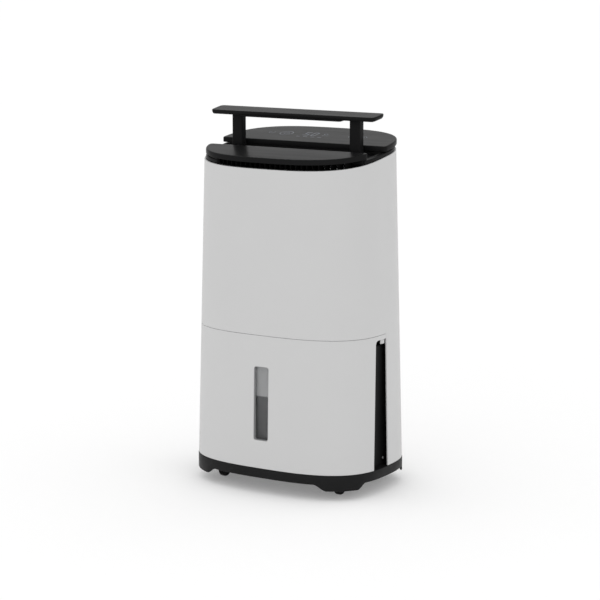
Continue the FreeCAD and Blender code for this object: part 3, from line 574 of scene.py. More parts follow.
@dataclass(frozen=True)
class Clear(Finish):
    """See-through plastic, faintly marked by handling or by moisture; with mist, painted shade darkens it
    below a level.
    """

    alpha: float
    roughness: float
    mist: float = 0.0
    mist_from: float = 0.1525
    mist_hem: float = 0.0008
    shade_foot_height: float = 0.075
    shade_head_height: float = 0.15
    below_line_shade: Colour = (0.1, 0.1, 0.1)

    def paint(self, board: Board) -> None:
        """Places the finish's nodes: with mist, clouded by droplets above a level, and painted shade below
        it that darkens towards the foot.

        Args:
            board: The bare board.
        """
        board.set(Specular_IOR_Level=0.45, IOR=1.5)
        drops = board.cells(2.4)
        marks = board.noise(6, 4.0)
        board.feed("Roughness", board.ranged(marks, self.roughness, self.roughness + 0.12, 0.3, 0.7))
        if not self.mist:
            board.set(Alpha=self.alpha)
            board.feed("Base Color", board.mixed(marks, self.colour, shade(self.colour, 1.12)))
            board.feed("Normal", board.bump(marks, 0.01))
            return
        low, high = self.mist_from - self.mist_hem, self.mist_from + self.mist_hem
        above = board.ranged(board.height(), 0.0, 1.0, low, high)
        # painted shade: below the water line the colour turns darker, darkest at the foot
        depth = board.ranged(board.height(), 0.0, 1.0, self.shade_foot_height, self.shade_head_height)
        foot = board.mixed(depth, shade(self.below_line_shade, 0.35), self.below_line_shade)
        board.feed("Base Color", board.over(above, foot, self.colour))
        board.feed("Alpha", board.ranged(above, self.alpha, min(1.0, self.alpha + self.mist)))
        beads = board.times(above, board.ranged(drops, 1.0, 0.0, 0.0, 0.5))
        board.feed("Normal", board.bump(beads, 0.03))


@dataclass(frozen=True)
class Thread(Finish):
    """Fine black netting thread."""

    def paint(self, board: Board) -> None:
        """Places the finish's nodes.

        Args:
            board: The bare board.
        """
        board.set(Roughness=0.75, Specular_IOR_Level=0.3)
        fibres = board.noise(0.4, 3.0)
        board.feed("Base Color", board.mixed(fibres, shade(self.colour, 0.7), shade(self.colour, 1.4)))
        board.feed("Normal", board.bump(fibres, 0.05))


class Finishes:
    """Every finish of the machine, by the record's slot."""

    def __init__(self) -> None:
        """Makes each material once."""
        choices = (
            Moulding("white_shell", (0.558, 0.558, 0.558), 0.46, 0.25, mottle=0.012),
            GlossDeck("deck_black", (0.0100, 0.0100, 0.0103), (0.018, 0.018, 0.0185)),
            Moulding("base_black", (0.0090, 0.0090, 0.0092), 0.46, 0.12, mottle=0.12),
            Moulding("grey_frame", (0.36, 0.37, 0.38), 0.52, 0.35),
            Thread("mesh_fabric", (0.018, 0.018, 0.019)),
            Clear("clear_window", (0.30, 0.305, 0.31), 0.10, 0.10),
            # below the water line this finish carries painted shade
            Clear("smoke_bucket", (0.385, 0.388, 0.392), 0.74, 0.30, mist=0.16, below_line_shade=(0.052, 0.053, 0.055)),
            Foam("float_foam", (0.74, 0.73, 0.69)),
            Metal("steel_parts", (0.52, 0.52, 0.53), 0.34),
            Metal("fin_aluminium", (0.72, 0.73, 0.74), 0.38),
            Metal("copper_tube", (0.76, 0.36, 0.20), 0.32, stretch=(0.05, 1.0, 1.0), tarnish=0.4),
            Moulding("compressor_black", (0.012, 0.012, 0.012), 0.36, 0.5, grain=1.6, relief=0.03),
            Moulding("rubber_parts", (0.014, 0.014, 0.014), 0.78, 0.25, grain=0.9, relief=0.03),
            CircuitBoard("circuit_board", (0.012, 0.085, 0.035)),
            Moulding("wheel_nylon", (0.0050, 0.0050, 0.0052), 0.5, 0.10, grain=0.8),
        )
        self.by_slot = {choice.slot: choice.make() for choice in choices}
        self.extra = {
            "water": Clear("tank_water_finish", (0.030, 0.034, 0.036), 0.9, 0.05).make(),
            "marks": Moulding("touch_marks_finish", (0.17, 0.185, 0.215), 0.42, 0.2, mottle=0.3).make(),
            # painted shade: the white window reveal is coloured mid grey, as if in its own shadow
            "surround": Moulding("window_reveal_painted_shade", (0.34, 0.344, 0.348), 0.35, 0.3).make(),
            # painted shade: near-black for the outlet fins, which sit in the outlet's shadow
            "hollow": Moulding("outlet_fins_painted_shade", (0.004, 0.004, 0.004), 0.8, 0.1).make(),
        }

    def get(self, slot: str) -> bpy.types.Material:
        """The material of a slot, or an extra by name."""
        return self.by_slot.get(slot) or self.extra[slot]


# ------------------------------------------------------------------ mesh making
class Shell:
    """Collects corners and faces in millimetres and makes one piece of them."""

    def __init__(self, name: str) -> None:
        """Starts an empty piece.

        Args:
            name: The piece's name.
        """
        self.name = name
        self.bm = bmesh.new()
        self.cutters: list[Shell] = []

    def ring(self, points: Sequence[Point3]) -> list[Vert]:
        """Adds a row of corners."""
        return [self.bm.verts.new(p) for p in points]

    def join(self, a: Sequence[Vert], b: Sequence[Vert], closed: bool = True) -> None:
        """Adds a band of quads between two rows.

        Args:
            a: One row's corners.
            b: The other row's.
            closed: True joins the last quad to the first.
        """
        count = len(a)
        for i in range(count if closed else count - 1):
            j = (i + 1) % count
            self.bm.faces.new((a[i], a[j], b[j], b[i]))

    def stack(self, rows: Sequence[Sequence[Point3]]) -> None:
        """Adds closed loops joined one after another, capped at both ends.

        Args:
            rows: The loops in order.
        """
        rings = [self.ring(row) for row in rows]
        for a, b in zip(rings, rings[1:]):
            self.join(a, b)
        self.bm.faces.new(rings[0][::-1])
        self.bm.faces.new(rings[-1])

    def slab(self, loop: Loop, profile: Sequence[Point2], lift: Lift) -> None:
        """Adds a solid with one plan and a rounded edge.

        Args:
            loop: The plan, anticlockwise.
            profile: Pairs of inset and height, from one face to the other.
            lift: Puts a plan point at a height into space.
        """
        self.stack([[lift(x, y, height) for x, y in shrink(loop, inset)] for inset, height in profile])

    def tube(self, loop: Loop, profile: Sequence[Point2], lift: Lift) -> None:
        """Adds a closed wall round a plan.

        Args:
            loop: The plan, anticlockwise.
            profile: The wall's closed section, as pairs of inset and height.
            lift: Puts a plan point at a height into space.
        """
        rings = []
        for inset, height in profile:
            rings.append(self.ring([lift(x, y, height) for x, y in shrink(loop, inset)]))
        for a, b in zip(rings, rings[1:] + rings[:1]):
            self.join(a, b)

    def sheet(
        self,
        columns: int,
        rows: int,
        place: Callable[[int, int, float], Point3],
        wall: float,
        keep: Callable[[int, int], bool],
    ) -> None:
        """Adds a skin of even thickness over a grid, open where cells are left out.

        Args:
            columns: Cells across.
            rows: Cells up.
            place: Gives the corner at a column and row, moved in by an inset.
            wall: The skin's thickness.
            keep: Says which cells are there.
        """
        cells = {(c, r) for c in range(columns) for r in range(rows) if keep(c, r)}
        corners = {(c + i, r + j) for c, r in cells for i in (0, 1) for j in (0, 1)}
        outer = {k: self.bm.verts.new(place(*k, 0.0)) for k in sorted(corners)}
        inner = {k: self.bm.verts.new(place(*k, wall)) for k in sorted(corners)}
        for c, r in sorted(cells):
            quad = [(c, r), (c + 1, r), (c + 1, r + 1), (c, r + 1)]
            self.bm.faces.new([outer[k] for k in quad])
            self.bm.faces.new([inner[k] for k in reversed(quad)])
            beside = [(c, r - 1), (c + 1, r), (c, r + 1), (c - 1, r)]
            for i, other in enumerate(beside):
                if other not in cells:
                    a, b = quad[i], quad[(i + 1) % 4]
                    self.bm.faces.new((outer[b], outer[a], inner[a], inner[b]))

    def turned(self, profile: Sequence[Point2], centre: Point3, way: Way, steps: int = 48) -> None:
        """Adds a turned piece.

        Args:
            profile: Pairs of radius and distance along the axis; a radius of 0 closes the end.
            centre: Where the axis distance is 0.
            way: The axis.
            steps: Corners round it.
        """
        axis = Vector(way.value)
        side = Vector((0, 0, 1)) if way is not Way.Z else Vector((1, 0, 0))
        other = axis.cross(side)
        middle = Vector(centre)
        rings = []
        for radius, along in profile:
            if radius == 0:
                rings.append([self.bm.verts.new(middle + axis * along)])
                continue
            rings.append(self.ring([
                middle + axis * along + (side * math.cos(a) + other * math.sin(a)) * radius
                for a in (2 * math.pi * i / steps for i in range(steps))
            ]))
        for a, b in zip(rings, rings[1:]):
            if len(a) == 1 or len(b) == 1:
                tip, rim = (a[0], b) if len(a) == 1 else (b[0], a)
                for i in range(steps):
                    self.bm.faces.new((tip, rim[i], rim[(i + 1) % steps]))
            else:
                self.join(a, b)
        if len(rings[0]) > 1 and len(rings[-1]) > 1:
            if (Vector(profile[0]) - Vector(profile[-1])).length < TINY:
                return
            self.bm.faces.new(rings[0][::-1])
            self.bm.faces.new(rings[-1])

    def bar(self, points: Sequence[Point3], halves: Sequence[Point2], steps: int = 16) -> None:
        """Adds a bar with a rounded section.

        Args:
            points: The line of its middle.
            halves: Its half width and half height at each point.
            steps: Corners round it.
        """
        squareness = 0.6   # 1 is an ellipse, 0 a rectangle
        line = [Vector(p) for p in points]
        sections = []
        for i, at in enumerate(line):
            ahead = (line[min(i + 1, len(line) - 1)] - line[max(i - 1, 0)]).normalized()
            across = ahead.cross(Vector((0, 0, 1))).normalized()
            upward = across.cross(ahead)
            wide, high = halves[i]
            section = []
            for k in range(steps):
                c, s = math.cos(2 * math.pi * k / steps), math.sin(2 * math.pi * k / steps)
                u, v = (math.copysign(abs(t) ** squareness, t) for t in (c, s))
                section.append(at + across * (u * wide) + upward * (v * high))
            sections.append(section)
        self.stack(sections)

    def block(self, low: Point3, high: Point3, corner: float = 0.6) -> None:
        """Adds a box with rounded edges.

        Args:
            low: Its lowest corner.
            high: Its highest corner.
            corner: Radius of its edges.
        """
        x0, y0, z0 = low
        x1, y1, z1 = high
        soft = corner * 0.3
        plan = rectangle(x0, x1, y0, y1, corner * 1.4)
        profile = [(corner, z0), (soft, z0 + soft), (0, z0 + corner),
                   (0, z1 - corner), (soft, z1 - soft), (corner, z1)]
        self.slab(plan, profile, level)

    def cut(self, cutter: "Shell") -> None:
        """Takes another shape out of this one when it is made."""
        self.cutters.append(cutter)

    def _object(self) -> bpy.types.Object:
        """Turns the collected faces into a bare object.

        Returns:
            The object, in metres.
        """
        bmesh.ops.remove_doubles(self.bm, verts=self.bm.verts, dist=0.0005)
        bmesh.ops.recalc_face_normals(self.bm, faces=self.bm.faces)
        bmesh.ops.scale(self.bm, vec=(MM, MM, MM), verts=self.bm.verts)
        mesh = bpy.data.meshes.new(self.name)
        self.bm.to_mesh(mesh)
        self.bm.free()
        piece = bpy.data.objects.new(self.name, mesh)
        bpy.context.scene.collection.objects.link(piece)
        return piece

    def make(self, bevel: float, smooth: float) -> bpy.types.Object:
        """Makes the piece, with its cuts and its edges.

        Args:
            bevel: Width of the rounding on sharp edges, or 0.
            smooth: Edges that turn by less than this many degrees are shaded smooth.

        Returns:
            The finished object, still without a body or a finish.
        """
        piece = self._object()
        tools = []
        for cutter in self.cutters:
            tool = cutter._object()
            tools.append(tool)
            trim = piece.modifiers.new("cut", "BOOLEAN")
            trim.operation = "DIFFERENCE"
            trim.solver = "EXACT"
            trim.object = tool
        if bevel:
            edge = piece.modifiers.new("edge", "BEVEL")
            edge.width = bevel * MM
            edge.segments = 3
            edge.limit_method = "ANGLE"
            edge.angle_limit = math.radians(50)
            edge.harden_normals = True
            edge.use_clamp_overlap = True
        if piece.modifiers:
            graph = bpy.context.evaluated_depsgraph_get()
            mesh = bpy.data.meshes.new_from_object(piece.evaluated_get(graph))
            piece.modifiers.clear()
            piece.data = mesh
        for tool in tools:
            bpy.data.objects.remove(tool)
        piece.data.polygons.foreach_set("use_smooth", [True] * len(piece.data.polygons))
        if not bevel:
            piece.data.set_sharp_from_angle(angle=math.radians(smooth))
        return piece


def level(x: float, y: float, z: float) -> Point3:
    """Puts a plan point at a plain height."""
    return (x, y, z)


def bend(radius: float, inset: float, height: float, step: float, rise: float = 1.0) -> list[Point2]:
    """Quarter round from a slab's face to its side, as part of a profile.

    Args:
        radius: The round's radius.
        inset: Inset of the side that it ends on.
        height: Height of the face that it starts from.
        step: Degrees between its points.
        rise: 1 if the side is above the face, -1 if it is below.

    Returns:
        Pairs of inset and height.
    """
    turns = [math.radians(step * k) for k in range(round(90 / step) + 1)]
    return [
        (inset + radius * (1 - math.sin(a)), height + rise * radius * (1 - math.cos(a))) for a in turns
    ]


def edge_profile(low: float, high: float, top: float, bottom: float) -> list[Point2]:
    """Section of a slab's edge, from its low face to its high face.

    Args:
        low: Height of the low face.
        high: Height of the high face.
        top: Radius of the upper edge.
        bottom: Radius of the lower edge.

    Returns:
        Pairs of inset and height.
    """
    step, hem = 22.5, 1.2
    lower = bend(bottom, 0.0, low, step)
    upper = bend(top, 0.0, high, step, rise=-1)[::-1]
    return [(bottom + hem, low)] + lower + upper + [(top + hem, high)]


def box_of(node: str) -> tuple[Vector, Vector]:
    """Low and high corners of a CAD node's box, in millimetres."""
    low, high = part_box(node)
    return low / MM, high / MM


def centre_of(node: str) -> Point3:
    """Middle of a CAD node's box, in millimetres."""
    low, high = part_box(node)
    return tuple((low + high) / 2 / MM)


# ------------------------------------------------------------------ common forms
@dataclass(frozen=True)
class BodyForm:
    """The white body's outer surface: a tapered superellipse with a tilted rim."""

    half_x: float = 160.0
    half_y: float = 118.2
    foot: float = 40.2
    rim: float = 519.75
    taper: float = 11.7
    tilt: float = DECK_TILT
    wall: float = 2.5
    gap: float = 0.4
    parting: float = 249.3
    seam: float = 78.0

    def outline(self, z: float, inset: float = 0.0) -> Outline:
        """Plan at a height, moved in by inset."""
        lean = self.taper * (z - self.foot) / (self.rim - self.foot) + inset
        return Outline(self.half_x - lean, self.half_y - lean)

    def slope(self) -> float:
        """Rise of the rim and deck per unit of depth."""
        return math.tan(math.radians(self.tilt))

    def on_surface(self, x: float, z: float, inset: float = 0.0, back: bool = False) -> Point3:
        """Point of the front or back face at x and z."""
        reach = self.outline(z, inset).reach_y(x)
        return (x, reach if back else -reach, z)


@dataclass(frozen=True)
class DeckForm:
    """The tilted deck: every height is a depth below its top plane."""

    half_x: float = 146.7
    half_y: float = 103.9
    top: float = 536.0
    slope: float = math.tan(math.radians(DECK_TILT))
    post_x: float = 106.5

    def plan(self, inset: float = 0.0) -> Outline:
        """The deck's outline, moved in."""
        return Outline(self.half_x - inset, self.half_y - inset)

    def lift(self, x: float, y: float, height: float) -> Point3:
        """Puts a plan point at a height above the deck's top plane."""
        return (x, y, self.top + height + self.slope * y)

    def part(
        self,
        inset: float = 0.0,
        y_min: float | None = None,
        y_max: float | None = None,
        x_min: float | None = None,
        x_max: float | None = None,
        corner: float = 0.0,
    ) -> Loop:
        """The deck's outline cut to a range.

        Args:
            inset: How far the outline moves in first.
            y_min: Front limit.
            y_max: Rear limit.
            x_min: Left limit.
            x_max: Right limit.
            corner: Rounding of the new corners.

        Returns:
            The cut plan.
        """
        loop = self.plan(inset).loop()
        limits = ((1, y_min, True), (1, y_max, False), (0, x_min, True), (0, x_max, False))
        for axis, limit, above in limits:
            if limit is not None:
                loop = clip(loop, axis, limit, above)
        return round_corners(loop, corner) if corner else loop


# ------------------------------------------------------------------ sub-assemblies
@dataclass
class Assembly:
    """A group of pieces that takes its finishes from the machine's set."""

    finishes: Finishes

    def put(
        self,
        shell: Shell,
        body: str | Body,
        slot: str,
        *nodes: str,
        look: str = "",
        bevel: float = 0.0,
        smooth: float = 32.0,
    ) -> None:
        """Makes a shell's piece and puts it on its body.

        Args:
            shell: The piece's shape.
            body: The CAD body that it rides on.
            slot: The record's material slot.
            *nodes: CAD nodes that it stands for.
            look: A finish to wear in place of the slot's own.
            bevel: Width of the rounding on sharp edges, or 0.
            smooth: Edges that turn by less than this many degrees are shaded smooth.
        """
        piece = shell.make(bevel, smooth)
        piece.data.materials.clear()
        piece.data.materials.append(self.finishes.get(look or slot))
        rider = body.value if isinstance(body, Body) else body
        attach(piece, rider)
        if nodes:
            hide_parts(*nodes)
        LOG.info("%s: %d faces on %s", shell.name, len(piece.data.polygons), rider)


@dataclass
class Casing(Assembly):
    """White main casing and rear cover, with the pull-off grille and its filter."""

    form: BodyForm = field(default_factory=BodyForm)
    slot_top_y: float = 1.3
    slot_foot_y: float = 0.7
    front_columns: int = 128
    side_columns: int = 14
    lower_rows: int = 16
    upper_rows: int = 22
    rear_columns: int = 96
    rear_rows: int = 30
    spout_hole: float = 11.0
    gland_hole: float = 9.0
    screw_seat: float = 3.7
    grille_half_x: float = 104.0
    grille_rows: int = 18
    grille_columns: int = 4
    slot_height: float = 5.6
    margin: float = 10.0
    mullion: float = 7.0
    pull_x: float = 60.0
    pull_half: float = 9.0
    pull_front: float = 102.0
    pull_rear: float = 104.5
    edge: float = 0.55

    def _slot_y(self, z: float) -> float:
        """Rear edge of the finger slots.

        Args:
            z: Height above the floor.

        Returns:
            The edge's Y.
        """
        low = self.form.foot - 5
        share = min(max((z - low) / (self.form.parting - low), 0.0), 1.0)
        return self.slot_foot_y + (self.slot_top_y - self.slot_foot_y) * share

    def build(self) -> None:
        """Makes every piece of the casing."""
        self._wrap()
        self._rear_cover()
        self._grille()
        self._filter()

    def _wrap(self) -> None:
        """White wrap: the front above the tank and both sides back to the seam."""
        form = self.form
        sides = spread(0.0, 1.0, self.side_columns, 0.02)
        front = spread(0.0, 1.0, self.front_columns, 0.004)
        marks = [(0, u) for u in sides[:-1]] + [(1, u) for u in front[:-1]] + [(2, u) for u in sides]
        lower = spread(0.0, 1.0, self.lower_rows, 0.006)
        upper = spread(0.0, 1.0, self.upper_rows, 0.006)
        levels = lower[:-1] + [1 + v for v in upper]

        def place(column: int, row: int, inset: float) -> Point3:
            """Finds a corner of the grid.

            Args:
                column: Step round the plan.
                row: Step up.
                inset: How far inside the outer face.

            Returns:
                The corner.
            """
            part, share = marks[column]
            stage = levels[row]
            start = form.foot + form.gap
            z = start + (form.parting - start) * min(stage, 1.0)
            for _ in range(SETTLE_ROUNDS):
                plan = form.outline(z, inset)
                seam, slot = plan.turn_at(form.seam), plan.turn_at(self._slot_y(z))
                ends = ((seam, slot), (slot, -180 - slot), (-180 - slot, -180 - seam))[part]
                x, y = plan.point(ends[0] + (ends[1] - ends[0]) * share)
                if stage <= 1:
                    break
                z = form.parting + (form.rim + form.slope() * y - form.parting) * (stage - 1)
            return (x, y, z)

        shell = Shell("casing_wrap")
        low_rows = len(lower) - 1
        shell.sheet(len(marks) - 1, len(levels) - 1, place, form.wall,
                    lambda c, r: r >= low_rows or marks[c][0] != 1)
        self.put(shell, Body.CHASSIS, "white_shell", "main_casing", bevel=self.edge)

    def _rear_cover(self) -> None:
        """White back shell, open for the grille, the hose spout, the lead and its screws."""
        form = self.form
        shares = spread(0.0, 1.0, self.rear_columns, 0.004)
        heights = spread(0.0, 1.0, self.rear_rows, 0.003)

        def place(column: int, row: int, inset: float) -> Point3:
            """Finds a corner of the grid.

            Args:
                column: Step round the plan.
                row: Step up.
                inset: How far inside the outer face.

            Returns:
                The corner.
            """
            z = base = form.foot + form.gap
            for _ in range(SETTLE_ROUNDS):
                plan = form.outline(z, inset)
                seam = plan.turn_at(form.seam + form.gap)
                x, y = plan.point(seam + (180 - 2 * seam) * shares[column])
                z = base + (form.rim + form.slope() * y - base) * heights[row]
            return (x, y, z)

        shell = Shell("rear_shell")
        shell.sheet(len(shares) - 1, len(heights) - 1, place, form.wall, lambda c, r: True)
        low, high = box_of("intake_grille")
        opening = Shell("grille_opening")
        reach = self.grille_half_x + 0.5
        opening.stack([[(x, y, z) for x, z in rectangle(-reach, reach, low.z - 0.5, high.z + 0.5)]
                       for y in (form.seam + 8, form.half_y + 10)])
        shell.cut(opening)
        spout, gland = centre_of("drain_spout"), centre_of("mains_gland")
        for name, radius, x, z in (
            ("drain_spout_hole", self.spout_hole, spout[0], Fixings.spout_z),
            ("mains_gland_hole", self.gland_hole, gland[0], gland[2]),
        ):
            hole = Shell(name)
            hole.turned([(radius, -20), (radius, 40)], (x, 100, z), Way.Y)
            shell.cut(hole)
        for x, y, z in Fixings.rear_screws(form):
            seat = Shell("screw_seat")
            seat.turned([(self.screw_seat, -3.0), (self.screw_seat, 20)], (x, y, z), Way.Y, 24)
            shell.cut(seat)
        self.put(shell, Body.CHASSIS, "white_shell", "rear_cover", bevel=self.edge)

    def _grille(self) -> None:
        """Louvred rear panel: long slots in the body's own curve."""
        low, high = (corner.z for corner in box_of("intake_grille"))
        half = self.grille_half_x
        pitch_x = (2 * half - 2 * self.margin + self.mullion) / self.grille_columns
        columns: list[float] = [-half, -half + self.margin / 2]
        open_columns: set[int] = set()
        for i in range(self.grille_columns):
            start = -half + self.margin + i * pitch_x
            for x in spread(start, start + pitch_x - self.mullion, 9)[:-1]:
                open_columns.add(len(columns))
                columns.append(x)
            columns.append(start + pitch_x - self.mullion)
        columns += [half - self.margin / 2, half]
        pitch_z = (high - low - 2 * self.margin) / self.grille_rows
        rows: list[float] = [low, low + self.margin / 2]
        open_rows: set[int] = set()
        for i in range(self.grille_rows):
            start = low + self.margin + i * pitch_z + (pitch_z - self.slot_height) / 2
            open_rows.add(len(rows))
            rows += [start, start + self.slot_height]
        rows += [high - self.margin / 2, high]
        shell = Shell("grille_louvres")
        shell.sheet(
            len(columns) - 1, len(rows) - 1,
            lambda c, r, inset: self.form.on_surface(columns[c], rows[r], inset, back=True),
            self.form.wall,
            lambda c, r: not (c in open_columns and r in open_rows),
        )
        for x in (-self.pull_x, self.pull_x):
            shell.block((x - self.pull_half, self.pull_front, high - 6.5),
                        (x + self.pull_half, self.pull_rear, high - 4.5))
        self.put(shell, Body.GRILLE, "white_shell", "intake_grille", bevel=0.6)

    def _filter(self) -> None:
        """Netting in the filter frame's three windows."""
        low, high = box_of("filter_mesh")
        bar, thread, pitch = 6.0, 0.22, 2.6
        pane = (high.x - low.x - 2 * bar) / 3
        middle = (low.y + high.y) / 2
        net = Shell("filter_net")
        turns = [math.radians(60 * k) for k in range(6)]
        section = [(thread * math.cos(a), thread * math.sin(a)) for a in turns]
        across, up = int(pane / pitch), int((high.z - low.z) / pitch)
        for i in range(3):
            left = low.x + i * (pane + bar)
            for k in range(across + 1):
                x = left + pane * k / across
                net.stack([[(x + a, middle + b, z) for a, b in section] for z in (low.z, high.z)])
            for k in range(up + 1):
                z = low.z + (high.z - low.z) * k / up
                net.stack([[(x, middle + a, z + b) for a, b in section] for x in (left, left + pane)])
        self.put(net, Body.GRILLE, "mesh_fabric", "filter_mesh")


@dataclass
class Deck(Assembly):
    """Black deck: ring on the rim, air outlet, handle channel and the two top plates."""

    form: DeckForm = field(default_factory=DeckForm)
    channel_front: float = -35.5
    channel_rear: float = 5.6
    channel_floor: float = 14.0
    plate: float = 8.0
    ring_top: float = 10.0
    ring_bottom: float = 16.0
    outlet_left: float = -93.7
    outlet_right: float = -46.0
    ring_radius: float = 2.6
    ring_steps: int = 230
    skirt_inset: float = 1.3
    skirt_low: float = 40.0
    floor_thick: float = 3.0
    post_hole_half: float = 14.0
    post_hole_front: float = -19.6
    post_hole_rear: float = 1.1
    pillar_x: float = 118.0
    film: float = 0.10

    def build(self) -> None:
        """Makes every piece of the deck."""
        self._ring()
        self._carrier()
        self._plates()
        self._marks()

    def _ring(self) -> None:
        """Rounded ring on the white rim, open along the air outlet."""
        plan = self.form.plan()
        left = math.degrees(math.acos((abs(self.outlet_left) / plan.half_x) ** (plan.power / 2)))
        start = -(180 - left)
        end = -360 + plan.turn_at(self.outlet_right)
        top, low = -self.ring_top, -self.ring_bottom
        section = [(5.0, low), (5.0, top), (3.2, top)]
        section += bend(self.ring_radius, 0.0, top, 15, rise=-1)
        section += [(0.0, low + 1.4), (0.5, low + 0.4), (1.4, low)]
        rows = []
        for i in range(self.ring_steps + 1):
            turn = start + (end - start) * i / self.ring_steps
            row = []
            for inset, height in section:
                x, y = self.form.plan(inset).point(turn)
                row.append(self.form.lift(x, y, height))
            rows.append(row)
        shell = Shell("deck_ring")
        shell.stack(rows)
        self.put(shell, Body.CHASSIS, "base_black", "deck_frame", look="deck_black")

    def _carrier(self) -> None:
        """What the plates stand on: skirt, channel floor, walls, rear pedestal and front pillars."""
        lift = self.form.lift
        floor_low = -self.channel_floor - self.floor_thick
        skirt = Shell("deck_skirt")
        low, high, wall = -self.skirt_low, -self.ring_bottom, 3.0
        skirt.tube(self.form.plan(self.skirt_inset).loop(),
                   [(0, low), (0, high - 0.4), (0.4, high), (wall, high), (wall, low)], lift)
        self.put(skirt, Body.CHASSIS, "base_black")

        floor = Shell("channel_floor")
        front = self.channel_front - 4
        floor.slab(self.form.part(2.3, y_min=front), [(0, floor_low), (0, -self.channel_floor)], lift)
        for middle in (-self.form.post_x, self.form.post_x):
            hole = Shell("post_hole")
            plan = rectangle(middle - self.post_hole_half, middle + self.post_hole_half,
                             self.post_hole_front, self.post_hole_rear)
            hole.stack([[(x, y, z) for x, y in plan] for z in (480, 560)])
            floor.cut(hole)
        self.put(floor, Body.CHASSIS, "base_black")

        shelf = Shell("deck_shelf")
        shelf.tube(self.form.part(4.5, y_min=front),
                   [(0, floor_low), (0, -self.ring_top), (4, -self.ring_top), (4, floor_low)], lift)
        self.put(shelf, Body.CHASSIS, "base_black")

        walls = Shell("plate_walls")
        top = -self.plate
        front_wall = self.form.part(5, y_min=front, y_max=self.channel_front - 1)
        walls.slab(front_wall, [(0, floor_low), (0, top)], lift)
        walls.tube(self.form.part(8, y_min=self.channel_rear + 3, corner=4),
                   [(0, floor_low), (0, top), (3, top), (3, floor_low)], lift)
        self.put(walls, Body.CHASSIS, "base_black")

        pillars = Shell("front_pillars")
        rear = self.channel_front - 2
        for plan in (
            self.form.part(3, y_max=rear, x_max=self.outlet_left - 1, corner=2),
            self.form.part(3, y_min=self.outlet_right + 1, y_max=rear, x_min=self.pillar_x, corner=2),
        ):
            pillars.slab(plan, [(0, -self.ring_bottom), (0, top)], lift)
        self.put(pillars, Body.CHASSIS, "base_black")

    def _plates(self) -> None:
        """The smooth front plate and the control plate."""
        profile = edge_profile(-self.plate, 0.0, 2.0, 1.0)
        front = self.form.part(y_max=self.channel_front, corner=9)
        control = self.form.part(-2.3, y_min=self.channel_rear, corner=6)
        for name, node, loop in (
            ("front_deck_plate", "front_plate", front),
            ("control_deck_plate", "control_plate", control),
        ):
            shell = Shell(name)
            shell.slab(loop, profile, self.form.lift)
            self.put(shell, Body.CHASSIS, "deck_black", node, smooth=40)

    def _marks(self) -> None:
        """Touch symbols and a two-figure reading, a printed film's thickness above the plate."""
        shell = Shell("touch_marks")

        def film(loop: Loop) -> None:
            """Adds one flat mark."""
            shell.slab(loop, [(0, -0.02), (0, self.film)], self.form.lift)

        def circle(x: float, y: float, outer: float, inner: float, gap: float = 0.0) -> None:
            """Adds a ring.

            Args:
                x: Its middle's X.
                y: Its middle's Y.
                outer: Its outer radius.
                inner: Its inner radius.
                gap: Share of the ring left open at the rear.
            """
            count = 36
            first = int(count * gap / 2)
            for k in range(first, count - first):
                a, b = (math.radians(90 + 360 * (k + i) / count) for i in (0, 1))
                corners = ((inner, b), (outer, b), (outer, a), (inner, a))
                film([(x + r * math.cos(t), y + r * math.sin(t)) for r, t in corners])

        def bar(x0: float, x1: float, y0: float, y1: float) -> None:
            """Adds a stroke."""
            film(rectangle(x0, x1, y0, y1))

        circle(-57, 53, 11.5, 10.2)
        circle(-57, 53, 5.0, 4.0, 0.2)
        bar(-57.5, -56.5, 54, 60)
        for k, (x, width) in enumerate(((-84, 5), (62, 6), (84, 5))):
            circle(x, 53, 5.2, 4.4, 0.0 if k else 0.25)
            bar(x - width / 4, x + width / 4, 52.4, 53.4)
        strokes = {
            "top": (0, 9, 16.4, 18), "middle": (0, 9, 8.2, 9.8), "foot": (0, 9, 0, 1.6),
            "left_up": (0, 1.5, 9, 17), "right_up": (7.5, 9, 9, 17),
            "left_down": (0, 1.5, 1, 9), "right_down": (7.5, 9, 1, 9),
        }
        figures = (("top", "left_up", "middle", "right_down", "foot"),
                   ("top", "left_up", "right_up", "left_down", "right_down", "foot"))
        for k, names in enumerate(figures):
            left, low = -24 + 14 * k, 46.0
            for name in names:
                x0, x1, y0, y1 = strokes[name]
                bar(left + x0, left + x1, low + y0, low + y1)
        for k in range(4):
            bar(-30 + 13 * k, -23 + 13 * k, 36.5, 38)
        circle(13, 58, 3.2, 2.4)
        bar(10, 22, 49, 50)
        self.put(shell, Body.CHASSIS, "deck_black", look="marks")


